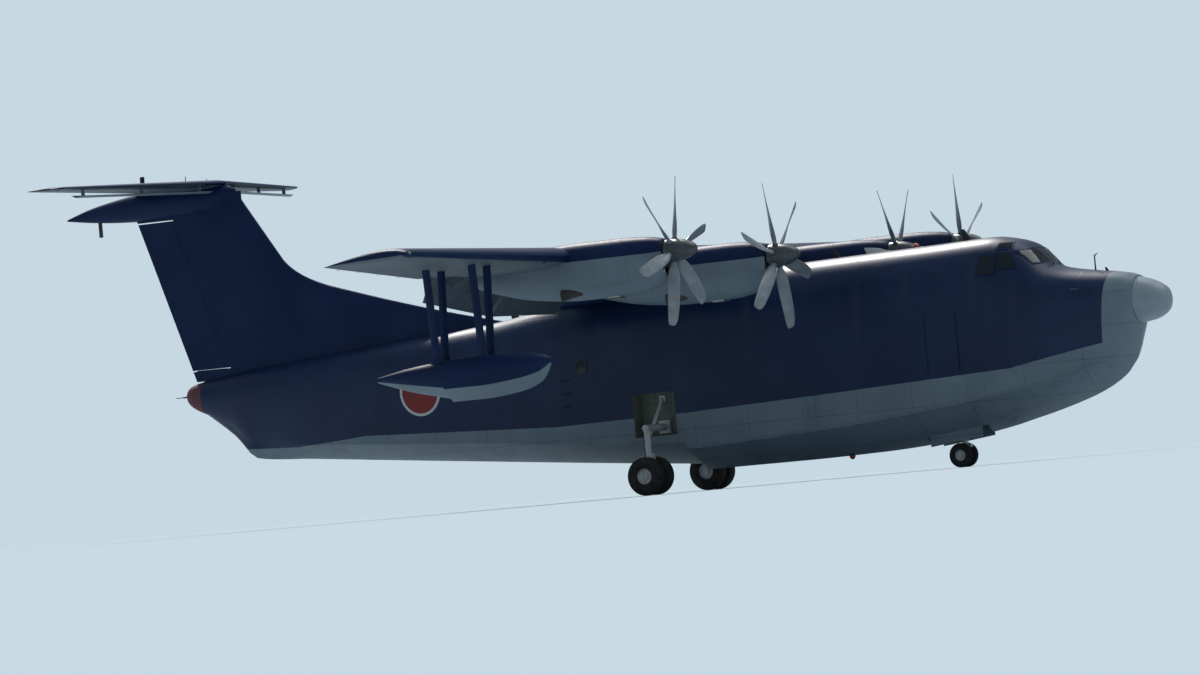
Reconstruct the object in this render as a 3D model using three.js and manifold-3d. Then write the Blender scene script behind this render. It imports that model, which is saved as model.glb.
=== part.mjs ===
// A four-engined amphibious flying boat, standing on its wheels with the flaps lowered.
// Millimetres. +X forward, +Y to port, +Z up. The origin is on the ground, under the middle of the length.
// Tables give stations as the distance aft of the nose tip and heights above the keel at the step.
import * as THREE from 'three';
import { mergeVertices } from 'three/addons/utils/BufferGeometryUtils.js';
import Module from 'manifold-3d';

const wasm = await Module();
wasm.setup();

const LENGTH = 33250;
const HALF_SPAN = 16575;
const KEEL_ABOVE_GROUND = 550;
const ROUND_SIDES = 10;
const SEAT_GAP = 0.4;
const MOVING_GAP = 12;

const WING = {
  rootHalfSpan: 5100,
  rootLeadingAft: 12300,
  tipSweep: 650,
  rootChord: 5000,
  tipChord: 2390,
  rootThickness: 0.155,
  tipThickness: 0.135,
  camber: 0.02,
  incidence: THREE.MathUtils.degToRad(3.2),
};
const TRAILING_EDGE_HEIGHTS = [
  { y: 0, up: 5310 },
  { y: 5100, up: 5310 },
  { y: 10000, up: 5500 },
  { y: HALF_SPAN, up: 5760 },
];
const FLAP_CHORD_SHARE = 0.254;
const FLAP_DROP = THREE.MathUtils.degToRad(50);
const AILERON_HINGE_SHARE = 0.74;

const ENGINES = [
  { name: 'inner_port', y: 3620, hubAft: 9370, hubUp: 5350, bladePhase: 30 },
  { name: 'inner_starboard', y: -3620, hubAft: 9370, hubUp: 5350, bladePhase: -15 },
  { name: 'outer_port', y: 8560, hubAft: 9780, hubUp: 5570, bladePhase: -5 },
  { name: 'outer_starboard', y: -8560, hubAft: 9780, hubUp: 5570, bladePhase: 12 },
];
const PROPELLER = {
  blades: 6,
  radius: 1950,
  spinnerNose: 660,
  spinnerBack: 190,
  spinnerRadius: 300,
  shaftRadius: 80,
  shaftNose: 60,
};

const MAIN_WHEEL = {
  aft: 14600,
  y: 1780,
  pairHalf: 270,
  radius: 508,
  width: 340,
  rimRadius: 215,
  axleRadius: 60,
  sides: 20,
};
const NOSE_WHEEL = {
  aft: 6270,
  pairHalf: 175,
  radius: 320,
  width: 165,
  rimRadius: 150,
  axleRadius: 38,
  sides: 16,
};
const FLOAT = { y: 12500, noseAft: 11450 };
const TAIL = { planeUp: 9120, halfSpan: 6400, elevatorHingeAft: 30100 };

const COLOURS = {
  navy: 0x1f2d4d,
  lightGrey: 0x9aa3aa,
  radomeGrey: 0x8f979c,
  underside: 0x8a9197,
  glass: 0x10161c,
  metal: 0x9b9fa3,
  rubber: 0x1b1b1c,
  bladeGrey: 0x55595e,
  tailEnd: 0x6f4a4c,
};
const SURFACES = {
  paint: { roughness: 0.5, metalness: 0.1 },
  glass: { roughness: 0.1, metalness: 0 },
  metal: { roughness: 0.35, metalness: 0.9 },
  rubber: { roughness: 0.9, metalness: 0 },
};

const flyingBoat = new THREE.Group();
const portSide = new THREE.Group();
const starboardSide = new THREE.Group();
starboardSide.scale.y = -1;
flyingBoat.add(portSide, starboardSide);

// Places and shapes

const place = (aft, y, up) => new THREE.Vector3(LENGTH / 2 - aft, y, KEEL_ABOVE_GROUND + up);
const ground = (aft, y, height) => new THREE.Vector3(LENGTH / 2 - aft, y, height);

function valueAt(table, key, at, column) {
  const last = table.length - 1;
  const upper = Math.max(1, table.findIndex((row, i) => i > 0 && (row[key] >= at || i === last)));
  const low = table[upper - 1];
  const high = table[upper];
  return THREE.MathUtils.mapLinear(at, low[key], high[key], low[column], high[column]);
}

// The triangles that close a ring of points, in indices counted from the ring's first point.
function capTriangles(ring) {
  const normal = new THREE.Vector3();
  ring.forEach((point, i) => normal.add(point.clone().cross(ring[(i + 1) % ring.length])));
  const side = new THREE.Vector3(0, 1, 0);
  if (Math.abs(normal.y) > 0.5 * normal.length()) side.set(1, 0, 0);
  const across = side.clone().cross(normal).normalize();
  const along = normal.clone().cross(across).normalize();
  const flat = ring.map((point) => new THREE.Vector2(point.dot(across), point.dot(along)));
  return THREE.ShapeUtils.triangulateShape(flat, []);
}

// A closed skin through rings that all have the same number of points.
function loft(rings) {
  const count = rings[0].length;
  const index = [];
  for (let r = 0; r + 1 < rings.length; r++) {
    for (let i = 0; i < count; i++) {
      const a = r * count + i;
      const b = r * count + ((i + 1) % count);
      index.push(a, b, b + count, a, b + count, a + count);
    }
  }
  const firstWays = capTriangles(rings[0]);
  firstWays.forEach(([a, b, c]) => index.push(...orientedCap(rings[0], a, b, c, 0, false)));
  const start = (rings.length - 1) * count;
  const lastRing = rings[rings.length - 1];
  const lastWays = capTriangles(lastRing);
  lastWays.forEach(([a, b, c]) => index.push(...orientedCap(lastRing, a, b, c, start, true)));
  const geometry = new THREE.BufferGeometry();
  const positions = rings.flat().flatMap((point) => point.toArray());
  geometry.setAttribute('position', new THREE.Float32BufferAttribute(positions, 3));
  geometry.setIndex(index);
  return solid(geometry);
}

// A cap's triangle runs with its ring's order at the last ring and against it at the first.
function orientedCap(ring, a, b, c, start, withRing) {
  const inOrder = (b - a) * (c - b) * (a - c) < 0;
  return inOrder === withRing ? [start + a, start + b, start + c] : [start + a, start + c, start + b];
}

// A solid for joining and cutting, from a closed geometry facing either way.
function solid(geometry) {
  const bare = geometry.clone();
  bare.deleteAttribute('normal');
  bare.deleteAttribute('uv');
  const merged = mergeVertices(bare, 1e-3);
  const vertProperties = new Float32Array(merged.attributes.position.array);
  const triVerts = Uint32Array.from(merged.index.array);
  if (signedVolume(vertProperties, triVerts) < 0) {
    for (let i = 0; i < triVerts.length; i += 3) {
      [triVerts[i + 1], triVerts[i + 2]] = [triVerts[i + 2], triVerts[i + 1]];
    }
  }
  return new wasm.Manifold(new wasm.Mesh({ numProp: 3, vertProperties, triVerts }));
}

function signedVolume(positions, triangles) {
  const corner = (i) => new THREE.Vector3().fromArray(positions, 3 * triangles[i]);
  let sum = 0;
  for (let i = 0; i < triangles.length; i += 3) {
    sum += corner(i).dot(corner(i + 1).cross(corner(i + 2)));
  }
  return sum / 6;
}

function geometryOf(body) {
  const mesh = body.simplify(0.1).getMesh();
  const geometry = new THREE.BufferGeometry();
  geometry.setAttribute('position', new THREE.BufferAttribute(new Float32Array(mesh.vertProperties), 3));
  geometry.setIndex(new THREE.BufferAttribute(new Uint32Array(mesh.triVerts), 1));
  return geometry;
}

const joined = (bodies) => bodies.reduce((sum, body) => sum.add(body));

function moved(body, matrix) {
  return solid(geometryOf(body).applyMatrix4(matrix));
}

function box(low, high) {
  const size = high.clone().sub(low);
  const middle = low.clone().lerp(high, 0.5);
  const geometry = new THREE.BoxGeometry(Math.abs(size.x), Math.abs(size.y), Math.abs(size.z));
  return solid(geometry.translate(middle.x, middle.y, middle.z));
}

// A round bar between two points. Half a facet's turn of a hole's sides keeps it clear of its pin.
function bar(from, to, radiusFrom, radiusTo = radiusFrom, sides = ROUND_SIDES, facetTurn = 0) {
  const along = to.clone().sub(from);
  const geometry = new THREE.CylinderGeometry(radiusTo, radiusFrom, along.length(), sides, 1);
  geometry.rotateY((facetTurn * Math.PI) / sides);
  const towardsEnd = new THREE.Quaternion().setFromUnitVectors(THREE.Object3D.DEFAULT_UP, along.normalize());
  geometry.applyQuaternion(towardsEnd);
  const middle = from.clone().lerp(to, 0.5);
  return solid(geometry.translate(middle.x, middle.y, middle.z));
}

const holeRadius = (pinRadius, sides = ROUND_SIDES) => (pinRadius + SEAT_GAP) / Math.cos(Math.PI / sides);

// A hole for a bar of the same sides, turned half a facet from it.
const hole = (from, to, pinRadius, sides = ROUND_SIDES, facetTurn = 1) =>
  bar(from, to, holeRadius(pinRadius, sides), holeRadius(pinRadius, sides), sides, facetTurn);

// A flat plate cut to an outline of [x, z] points, between two values of y.
function plate(outline, yFrom, yTo) {
  const shape = new THREE.Shape(outline.map(([x, z]) => new THREE.Vector2(x, z)));
  const geometry = new THREE.ExtrudeGeometry(shape, { depth: Math.abs(yTo - yFrom), bevelEnabled: false });
  geometry.rotateX(Math.PI / 2);
  return solid(geometry.translate(0, Math.max(yFrom, yTo), 0));
}

// A solid of revolution about X through the origin, from [x, radius] points that start and end on the axis.
function turned(profile, sides) {
  const points = profile.map(([x, radius]) => new THREE.Vector2(radius, x));
  return solid(new THREE.LatheGeometry(points, sides).rotateZ(-Math.PI / 2));
}

// Pushes each point of a flat ring outwards by a distance. The ring's two axes are named.
function grown(ring, distance, u, v) {
  if (distance === 0) return ring;
  const area = ring.reduce((sum, p, i) => {
    const next = ring[(i + 1) % ring.length];
    return sum + p[u] * next[v] - next[u] * p[v];
  }, 0);
  const side = Math.sign(area);
  const edgeNormal = (from, to) =>
    new THREE.Vector2(to[v] - from[v], from[u] - to[u]).normalize().multiplyScalar(side);
  return ring.map((point, i) => {
    const before = edgeNormal(ring[(i + ring.length - 1) % ring.length], point);
    const after = edgeNormal(point, ring[(i + 1) % ring.length]);
    const middle = before.clone().add(after);
    const push = (2 * distance) / Math.max(middle.lengthSq(), 0.8);
    const result = point.clone();
    result[u] += middle.x * push;
    result[v] += middle.y * push;
    return result;
  });
}

function addNode(name, body, colour, surface = SURFACES.paint, parent = flyingBoat) {
  const geometry = body.isBufferGeometry ? body : geometryOf(body);
  const material = new THREE.MeshStandardMaterial({ color: colour, flatShading: true, ...surface });
  const mesh = new THREE.Mesh(geometry, material);
  mesh.name = name;
  parent.add(mesh);
  return mesh;
}

function addBothSides(name, body, colour, surface = SURFACES.paint) {
  const geometry = geometryOf(body);
  addNode(`${name}_port`, geometry, colour, surface, portSide);
  addNode(`${name}_starboard`, geometry, colour, surface, starboardSide);
}

// Hull and float sections: a V bottom to the chine, a side, and a rounded top

const HULL_SECTIONS = [
  { aft: 850, keel: 2720, chineHalf: 300, chine: 2860, sideHalf: 600, side: 3360, top: 3985 },
  { aft: 930, keel: 2280, chineHalf: 290, chine: 2560, sideHalf: 660, side: 3360, top: 4020 },
  { aft: 1060, keel: 1900, chineHalf: 330, chine: 2220, sideHalf: 740, side: 3360, top: 4065 },
  { aft: 1440, keel: 1460, chineHalf: 520, chine: 1950, sideHalf: 880, side: 3360, top: 4140 },
  { aft: 2120, keel: 1090, chineHalf: 800, chine: 1720, sideHalf: 1030, side: 3400, top: 4240 },
  { aft: 3100, keel: 780, chineHalf: 1020, chine: 1500, sideHalf: 1160, side: 3500, top: 4470 },
  { aft: 3450, keel: 690, chineHalf: 1060, chine: 1450, sideHalf: 1185, side: 3600, top: 4830 },
  { aft: 3680, keel: 635, chineHalf: 1090, chine: 1410, sideHalf: 1200, side: 3680, top: 5070 },
  { aft: 4000, keel: 565, chineHalf: 1125, chine: 1360, sideHalf: 1220, side: 3750, top: 5210 },
  { aft: 4810, keel: 390, chineHalf: 1190, chine: 1250, sideHalf: 1250, side: 3950, top: 5355 },
  { aft: 6500, keel: 160, chineHalf: 1250, chine: 1050, sideHalf: 1255, side: 4050, top: 5310 },
  { aft: 8500, keel: 40, chineHalf: 1250, chine: 870, sideHalf: 1255, side: 4000, top: 5265 },
  { aft: 11000, keel: 0, chineHalf: 1250, chine: 730, sideHalf: 1255, side: 3950, top: 5200 },
  { aft: 13720, keel: 0, chineHalf: 1250, chine: 620, sideHalf: 1255, side: 3900, top: 5040 },
  { aft: 13780, keel: 150, chineHalf: 1225, chine: 740, sideHalf: 1252, side: 3900, top: 5037 },
  { aft: 17000, keel: 430, chineHalf: 1200, chine: 980, sideHalf: 1220, side: 3750, top: 4850 },
  { aft: 20000, keel: 710, chineHalf: 1100, chine: 1250, sideHalf: 1150, side: 3500, top: 4450 },
  { aft: 23500, keel: 1040, chineHalf: 850, chine: 1500, sideHalf: 1000, side: 3300, top: 4200 },
  { aft: 26000, keel: 1280, chineHalf: 550, chine: 1680, sideHalf: 800, side: 3250, top: 4020 },
  { aft: 27740, keel: 1440, chineHalf: 120, chine: 1760, sideHalf: 620, side: 3250, top: 3880 },
  { aft: 28370, keel: 2100, chineHalf: 150, chine: 2330, sideHalf: 520, side: 3220, top: 3800 },
  { aft: 29180, keel: 2740, chineHalf: 230, chine: 2860, sideHalf: 400, side: 3240, top: 3700 },
];
const FLOAT_SECTIONS = [
  { aft: 0, keel: 2930, chineHalf: 50, chine: 2980, sideHalf: 70, side: 3060, top: 3110 },
  { aft: 250, keel: 2560, chineHalf: 240, chine: 2780, sideHalf: 260, side: 3000, top: 3220 },
  { aft: 900, keel: 2330, chineHalf: 380, chine: 2640, sideHalf: 400, side: 2960, top: 3290 },
  { aft: 2000, keel: 2230, chineHalf: 430, chine: 2560, sideHalf: 450, side: 2940, top: 3310 },
  { aft: 2880, keel: 2230, chineHalf: 420, chine: 2560, sideHalf: 440, side: 2940, top: 3290 },
  { aft: 2920, keel: 2310, chineHalf: 410, chine: 2600, sideHalf: 435, side: 2940, top: 3288 },
  { aft: 4000, keel: 2560, chineHalf: 240, chine: 2760, sideHalf: 300, side: 2940, top: 3180 },
  { aft: 5000, keel: 2880, chineHalf: 20, chine: 2910, sideHalf: 50, side: 2960, top: 3010 },
];
const TOP_ARC_STEPS = 5;
const TOP_ARC_POWER = 2 / 2.35;

function hullHalf(s) {
  const points = [
    [0, s.keel],
    [s.chineHalf * 0.55, THREE.MathUtils.lerp(s.keel, s.chine, 0.5)],
    [s.chineHalf, s.chine],
    [THREE.MathUtils.lerp(s.chineHalf, s.sideHalf, 0.7), THREE.MathUtils.lerp(s.chine, s.side, 0.45)],
  ];
  for (let i = 0; i <= TOP_ARC_STEPS; i++) {
    const turn = (i / TOP_ARC_STEPS) * (Math.PI / 2);
    points.push([
      s.sideHalf * Math.max(Math.cos(turn), 0) ** TOP_ARC_POWER,
      s.side + (s.top - s.side) * Math.sin(turn) ** TOP_ARC_POWER,
    ]);
  }
  return points;
}

function hullRing(section, grow = 0, aftOffset = 0, yOffset = 0) {
  const half = hullHalf(section);
  const otherHalf = half.slice(1, -1).reverse().map(([y, up]) => [-y, up]);
  const ring = [...half, ...otherHalf].map(([y, up]) => place(section.aft + aftOffset, y + yOffset, up));
  ring[half.length - 1].y = yOffset;
  return grown(ring, grow, 'y', 'z');
}

const hullBody = (grow = 0) => loft(HULL_SECTIONS.map((section) => hullRing(section, grow)));

const COCKPIT_GLASS = {
  depth: 60,
  outline: [[3150, 4560], [3620, 5000], [4080, 5075], [5050, 5000], [5050, 4560]],
  roofHalf: 560,
  roofLow: 5000,
};
const NOSE_BAY = { frontAft: 5350, rearAft: 7150, half: 330, roof: 1150 };
const MAIN_BAY = { frontAft: 13980, rearAft: 15250, low: 1000, high: 2150, innerY: 700 };

// The band of cockpit windows, seen in side view and taken right across the hull.
function cockpitBand(grow) {
  const outline = grown(COCKPIT_GLASS.outline.map(([aft, up]) => place(aft, 0, up)), grow, 'x', 'z');
  return plate(outline.map((point) => [point.x, point.z]), -2000, 2000);
}

// The roof between the cockpit's side windows, which stays with the hull.
function cockpitRoof(grow) {
  const { roofHalf, roofLow } = COCKPIT_GLASS;
  return box(place(3000, -roofHalf - grow, roofLow - grow), place(5200, roofHalf + grow, 5700));
}

const DOOR = {
  frontAft: 18400,
  width: 850,
  sill: 1750,
  height: 1650,
  depth: 90,
  hollowToY: 490,
  pivotOut: 30,
  gap: 16,
};

function hull() {
  const skin = hullBody();
  const glassCut = skin
    .subtract(hullBody(-COCKPIT_GLASS.depth - SEAT_GAP))
    .intersect(cockpitBand(SEAT_GAP))
    .subtract(cockpitRoof(0));
  return skin
    .subtract(glassCut)
    .subtract(mainBay(1))
    .subtract(mainBay(-1))
    .subtract(noseBay())
    .subtract(doorway())
    .add(doorKnuckles('hull'));
}

function mainBay(side) {
  return box(
    place(MAIN_BAY.frontAft, side * MAIN_BAY.innerY, MAIN_BAY.low),
    place(MAIN_BAY.rearAft, side * 2000, MAIN_BAY.high),
  );
}

const noseBay = () =>
  box(place(NOSE_BAY.frontAft, -NOSE_BAY.half, -100), place(NOSE_BAY.rearAft, NOSE_BAY.half, NOSE_BAY.roof));

const doorway = () => box(
  place(DOOR.frontAft, 2000, DOOR.sill),
  place(DOOR.frontAft + DOOR.width, DOOR.hollowToY, DOOR.sill + DOOR.height),
);

const cockpitGlass = () => hullBody()
  .subtract(hullBody(-COCKPIT_GLASS.depth))
  .intersect(cockpitBand(0))
  .subtract(cockpitRoof(SEAT_GAP));

// Side door

function hullSideY(aft, up) {
  const at = (column) => valueAt(HULL_SECTIONS, 'aft', aft, column);
  return THREE.MathUtils.mapLinear(up, at('chine'), at('side'), at('chineHalf'), at('sideHalf'));
}

const DOOR_PIVOT_Y = hullSideY(DOOR.frontAft, DOOR.sill + DOOR.height) + DOOR.pivotOut;

// The barrels of the two door hinges: the door's middle barrels, or the hull's barrels above and below them.
// An arm runs from each barrel into its owner, aft to the door or forward to the hull.
function doorKnuckles(owner) {
  const barrel = { radius: 17, length: 60 };
  const arm = { from: 8, to: 70, in: 75, out: 6 };
  const towards = owner === 'door' ? 1 : -1;
  const rows = owner === 'door' ? [0] : [-1, 1];
  const bodies = [];
  for (const height of [350, 1300]) {
    for (const row of rows) {
      const middle = DOOR.sill + height + row * (barrel.length + SEAT_GAP);
      const low = middle - barrel.length / 2;
      const high = middle + barrel.length / 2;
      const at = (along, out, up) => place(DOOR.frontAft + towards * along, DOOR_PIVOT_Y + out, up);
      bodies.push(bar(at(0, 0, low), at(0, 0, high), barrel.radius));
      bodies.push(box(at(arm.from, -arm.in, low), at(arm.to, arm.out, high)));
    }
  }
  return joined(bodies);
}

function sideDoor() {
  const { gap } = DOOR;
  const opening = box(
    place(DOOR.frontAft + gap, DOOR.hollowToY, DOOR.sill + gap),
    place(DOOR.frontAft + DOOR.width - gap, 2000, DOOR.sill + DOOR.height - gap),
  );
  const leaf = hullBody().subtract(hullBody(-DOOR.depth)).intersect(opening);
  return leaf.add(doorKnuckles('door'));
}

// Nose

const RADOME_SECTIONS = [
  { aft: 0, half: 45, top: 3350, bottom: 3250 },
  { aft: 60, half: 210, top: 3560, bottom: 3060 },
  { aft: 200, half: 370, top: 3690, bottom: 2920 },
  { aft: 450, half: 500, top: 3830, bottom: 2810 },
  { aft: 850 - SEAT_GAP, half: 590, top: 3960, bottom: 2745 },
];

function ovalRing({ aft, half, top, bottom, y = 0 }, points = 16, power = 2, grow = 0) {
  const middle = (top + bottom) / 2;
  const high = (top - bottom) / 2;
  const round = (value) => Math.sign(value) * Math.abs(value) ** (2 / power);
  const ring = Array.from({ length: points }, (_, i) => {
    const turn = (2 * Math.PI * i) / points;
    return place(aft, y + half * round(Math.cos(turn)), middle + high * round(Math.sin(turn)));
  });
  return grown(ring, grow, 'y', 'z');
}

const radome = () => loft(RADOME_SECTIONS.map((section) => ovalRing(section)));

const TAIL_END_SECTIONS = [
  { aft: 29180 + SEAT_GAP, half: 390, top: 3690, bottom: 2760 },
  { aft: 29480, half: 350, top: 3640, bottom: 2900 },
  { aft: 29700, half: 240, top: 3540, bottom: 3060 },
  { aft: 29820, half: 60, top: 3370, bottom: 3250 },
];
const tailEnd = () => loft(TAIL_END_SECTIONS.map((section) => ovalRing(section)));

// Wing

const CHORD_STATIONS = [1, 0.74, 0.55, 0.36, 0.2, 0.09, 0.025, 0];
const TRAILING_EDGE_HALF = 0.0016;

const thicknessShape = (x) =>
  5 * (0.2969 * Math.sqrt(x) - 0.126 * x - 0.3516 * x ** 2 + 0.2843 * x ** 3 - 0.1015 * x ** 4);

// A wing section as [distance aft of the leading edge, height] in chords, round from the upper trailing edge.
function aerofoil(thickness, camber) {
  const line = (x) => 4 * camber * x * (1 - x);
  const half = (x) => thickness * thicknessShape(x) + (x === 1 ? TRAILING_EDGE_HALF : 0);
  const upper = CHORD_STATIONS.map((x) => [x, line(x) + half(x)]);
  const lower = CHORD_STATIONS.slice(0, -1).reverse().map((x) => [x, line(x) - half(x)]);
  return [...upper, ...lower];
}

function wingPlace(y) {
  const outward = Math.max(0, (Math.abs(y) - WING.rootHalfSpan) / (HALF_SPAN - WING.rootHalfSpan));
  return {
    chord: THREE.MathUtils.lerp(WING.rootChord, WING.tipChord, outward),
    leadingAft: WING.rootLeadingAft + WING.tipSweep * outward,
    trailingUp: valueAt(TRAILING_EDGE_HEIGHTS, 'y', Math.abs(y), 'up'),
    thickness: THREE.MathUtils.lerp(WING.rootThickness, WING.tipThickness, outward),
  };
}

// A point of the wing: share of the chord aft of the leading edge, and height off the chord line in mm.
function wingPoint(y, share, height) {
  const { chord, leadingAft, trailingUp } = wingPlace(y);
  const forward = chord * (1 - share);
  return place(
    leadingAft + chord - forward * Math.cos(WING.incidence) + height * Math.sin(WING.incidence),
    y,
    trailingUp + forward * Math.sin(WING.incidence) + height * Math.cos(WING.incidence),
  );
}

function wingRing(y, grow = 0, thin = 1) {
  const { chord, thickness } = wingPlace(y);
  const outline = aerofoil(thickness * thin, WING.camber);
  return grown(outline.map(([share, high]) => wingPoint(y, share, high * chord)), grow, 'x', 'z');
}

const WING_STATIONS = {
  centre: [-WING.rootHalfSpan + SEAT_GAP / 2, 0, WING.rootHalfSpan - SEAT_GAP / 2],
  outer: [WING.rootHalfSpan + SEAT_GAP / 2, 10000, 16300, HALF_SPAN],
};

const wingBlank = (ys, grow = 0) =>
  loft(ys.map((y) => wingRing(y, grow, Math.abs(y) === HALF_SPAN ? 0.55 : 1)));

// The whole wing a seat's gap larger, which takes the wing's room out of what meets it.
function wingCutter() {
  const portStations = [WING.rootHalfSpan, 10000, 16300];
  const starboardStations = portStations.map((y) => -y).reverse();
  return wingBlank([...starboardStations, 0, ...portStations], SEAT_GAP);
}

// Hinged surfaces

// The frame of a hinge line: Y along it from its first end, X forward, Z up.
function hingeFrame(from, to) {
  const yAxis = to.clone().sub(from).normalize();
  const towardsUp = Math.abs(yAxis.z) > 0.7 ? new THREE.Vector3(0, -1, 0) : new THREE.Vector3(0, 0, 1);
  const zAxis = towardsUp.addScaledVector(yAxis, -towardsUp.dot(yAxis)).normalize();
  const xAxis = yAxis.clone().cross(zAxis);
  return new THREE.Matrix4().makeBasis(xAxis, yAxis, zAxis).setPosition(from);
}

// All that turns with a surface: a round nose about the hinge line, and everything aft of it.
function movingZone(hinge, gap) {
  const overrun = 2000;
  const slope = (hinge.radiusTo - hinge.radiusFrom) / hinge.length;
  const nose = bar(
    new THREE.Vector3(0, -overrun, 0),
    new THREE.Vector3(0, hinge.length + overrun, 0),
    hinge.radiusFrom - slope * overrun + gap,
    hinge.radiusTo + slope * overrun + gap,
    hinge.noseSides,
  );
  const farEnd = hinge.length + overrun;
  const behind = box(new THREE.Vector3(-4000, -overrun, -2000), new THREE.Vector3(gap, farEnd, 2000));
  const insideEnd = new THREE.Vector3(-5000, -gap, -3000);
  const outsideEnd = new THREE.Vector3(2000, hinge.length + gap, 3000);
  const between = box(insideEnd, outsideEnd);
  return nose.add(behind).intersect(between);
}

// The fixed bracket, its slot, and the pin and lugs of one hinge station, at a distance along the hinge line.
// A drop above 0 puts the hinge line under the surface, which then has lugs that hang down to it.
function hingeStation(hinge, along) {
  const { bracketHalf, eye, pin, drop } = hinge;
  const radius = THREE.MathUtils.mapLinear(along, 0, hinge.length, hinge.radiusFrom, hinge.radiusTo);
  const clear = 6;
  const lug = 18;
  const at = (y) => new THREE.Vector3(0, along + y, 0);
  const rootX = radius + MOVING_GAP + 0.5 * radius;
  const rise = drop * radius;
  const arm = plate(
    [[0, -eye], [rootX, rise - eye * 0.6], [rootX, rise + eye * 0.6], [0, eye]],
    along - bracketHalf,
    along + bracketHalf,
  );
  const eyeRound = bar(at(-bracketHalf), at(bracketHalf), eye, eye, 8);
  const bracket = arm.add(eyeRound).subtract(hole(at(-100), at(100), pin, 8));
  const reach = bracketHalf + clear;
  const slotRadius = (radius + 8) / Math.cos(Math.PI / 16);
  const slotLow = new THREE.Vector3(-eye - 12, along - reach, -2 * radius);
  const slotHigh = new THREE.Vector3(2 * radius, along + reach, 2 * radius);
  const slot = drop > 0 ? bar(at(-reach), at(reach), slotRadius, slotRadius, 16) : box(slotLow, slotHigh);
  const lugOutline = [
    [eye * 0.9, 0],
    [0.1 * radius, 0.75 * radius],
    [-0.9 * radius, 0.62 * radius],
    [-eye * 0.9, 0],
  ];
  const parts = [bar(at(-reach - lug), at(reach + lug), pin, pin, 8)];
  if (drop > 0) {
    for (const side of [-1, 1]) {
      const inner = along + side * reach;
      const outer = along + side * (reach + lug);
      parts.push(bar(at(side * reach), at(side * (reach + lug)), eye, eye, 8));
      parts.push(plate(lugOutline, inner, outer));
    }
  }
  return { bracket, slot, moving: joined(parts) };
}

// The room that a surface turns in, placed in the whole.
const turningRoom = (hinge) => moved(movingZone(hinge, MOVING_GAP), hinge.frame);

// Cuts a surface out of its blank: the moving piece in its hinge's frame, and what changes on the fixed one.
function hingedSurface(blank, hinge) {
  const toFrame = hinge.frame.clone().invert();
  let piece = moved(blank, toFrame).intersect(movingZone(hinge, 0));
  const stations = hinge.stations.map((share) => hingeStation(hinge, share * hinge.length));
  for (const station of stations) piece = piece.subtract(station.slot).add(station.moving);
  return {
    piece,
    cut: turningRoom(hinge),
    brackets: moved(joined(stations.map((station) => station.bracket)), hinge.frame),
  };
}

// A flap turns about a line under it, so that its nose rolls inside a round cove.
function flapHinge(yFrom, yTo, stations) {
  const ends = [yFrom, yTo].map((y) => {
    const flapChord = FLAP_CHORD_SHARE * wingPlace(y).chord;
    return { point: wingPoint(y, 1 - FLAP_CHORD_SHARE * 0.7, -0.28 * flapChord), radius: 0.41 * flapChord };
  });
  return {
    frame: hingeFrame(ends[0].point, ends[1].point),
    length: ends[0].point.distanceTo(ends[1].point),
    radiusFrom: ends[0].radius,
    radiusTo: ends[1].radius,
    bracketHalf: 20,
    eye: 55,
    pin: 18,
    drop: 0.62,
    noseSides: 24,
    stations,
  };
}

function aileronHinge(yFrom, yTo, stations) {
  const ends = [yFrom, yTo].map((y) => {
    const { chord, thickness } = wingPlace(y);
    const midHeight = 4 * WING.camber * AILERON_HINGE_SHARE * (1 - AILERON_HINGE_SHARE) * chord;
    return {
      point: wingPoint(y, AILERON_HINGE_SHARE, midHeight),
      radius: 1.02 * thickness * thicknessShape(AILERON_HINGE_SHARE) * chord,
    };
  });
  return {
    frame: hingeFrame(ends[0].point, ends[1].point),
    length: ends[0].point.distanceTo(ends[1].point),
    radiusFrom: ends[0].radius,
    radiusTo: ends[1].radius,
    bracketHalf: 14,
    eye: 34,
    pin: 12,
    drop: 0,
    noseSides: 16,
    stations,
  };
}

const HINGES = {
  flapInner: flapHinge(1450, 5020, [0.12, 0.88]),
  flapOuter: flapHinge(5230, 9930, [0.1, 0.5, 0.9]),
  aileron: aileronHinge(10080, 16200, [0.08, 0.5, 0.9]),
};

// The group's frame holds the hinge line, and the mesh inside it is turned by the angle at rest.
function placeOnHinge(name, body, hinge, restAngle, colour, sideGroup) {
  const holder = new THREE.Group();
  hinge.frame.decompose(holder.position, holder.quaternion, holder.scale);
  const mesh = addNode(name, body, colour, SURFACES.paint, holder);
  mesh.rotation.y = restAngle;
  sideGroup.add(holder);
}

function placeOnBothHinges(name, body, hinge, restAngle, colour) {
  placeOnHinge(`${name}_port`, body, hinge, restAngle, colour, portSide);
  placeOnHinge(`${name}_starboard`, body, hinge, restAngle, colour, starboardSide);
}

function mirroredY(body) {
  return solid(geometryOf(body).applyMatrix4(new THREE.Matrix4().makeScale(1, -1, 1)));
}

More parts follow.
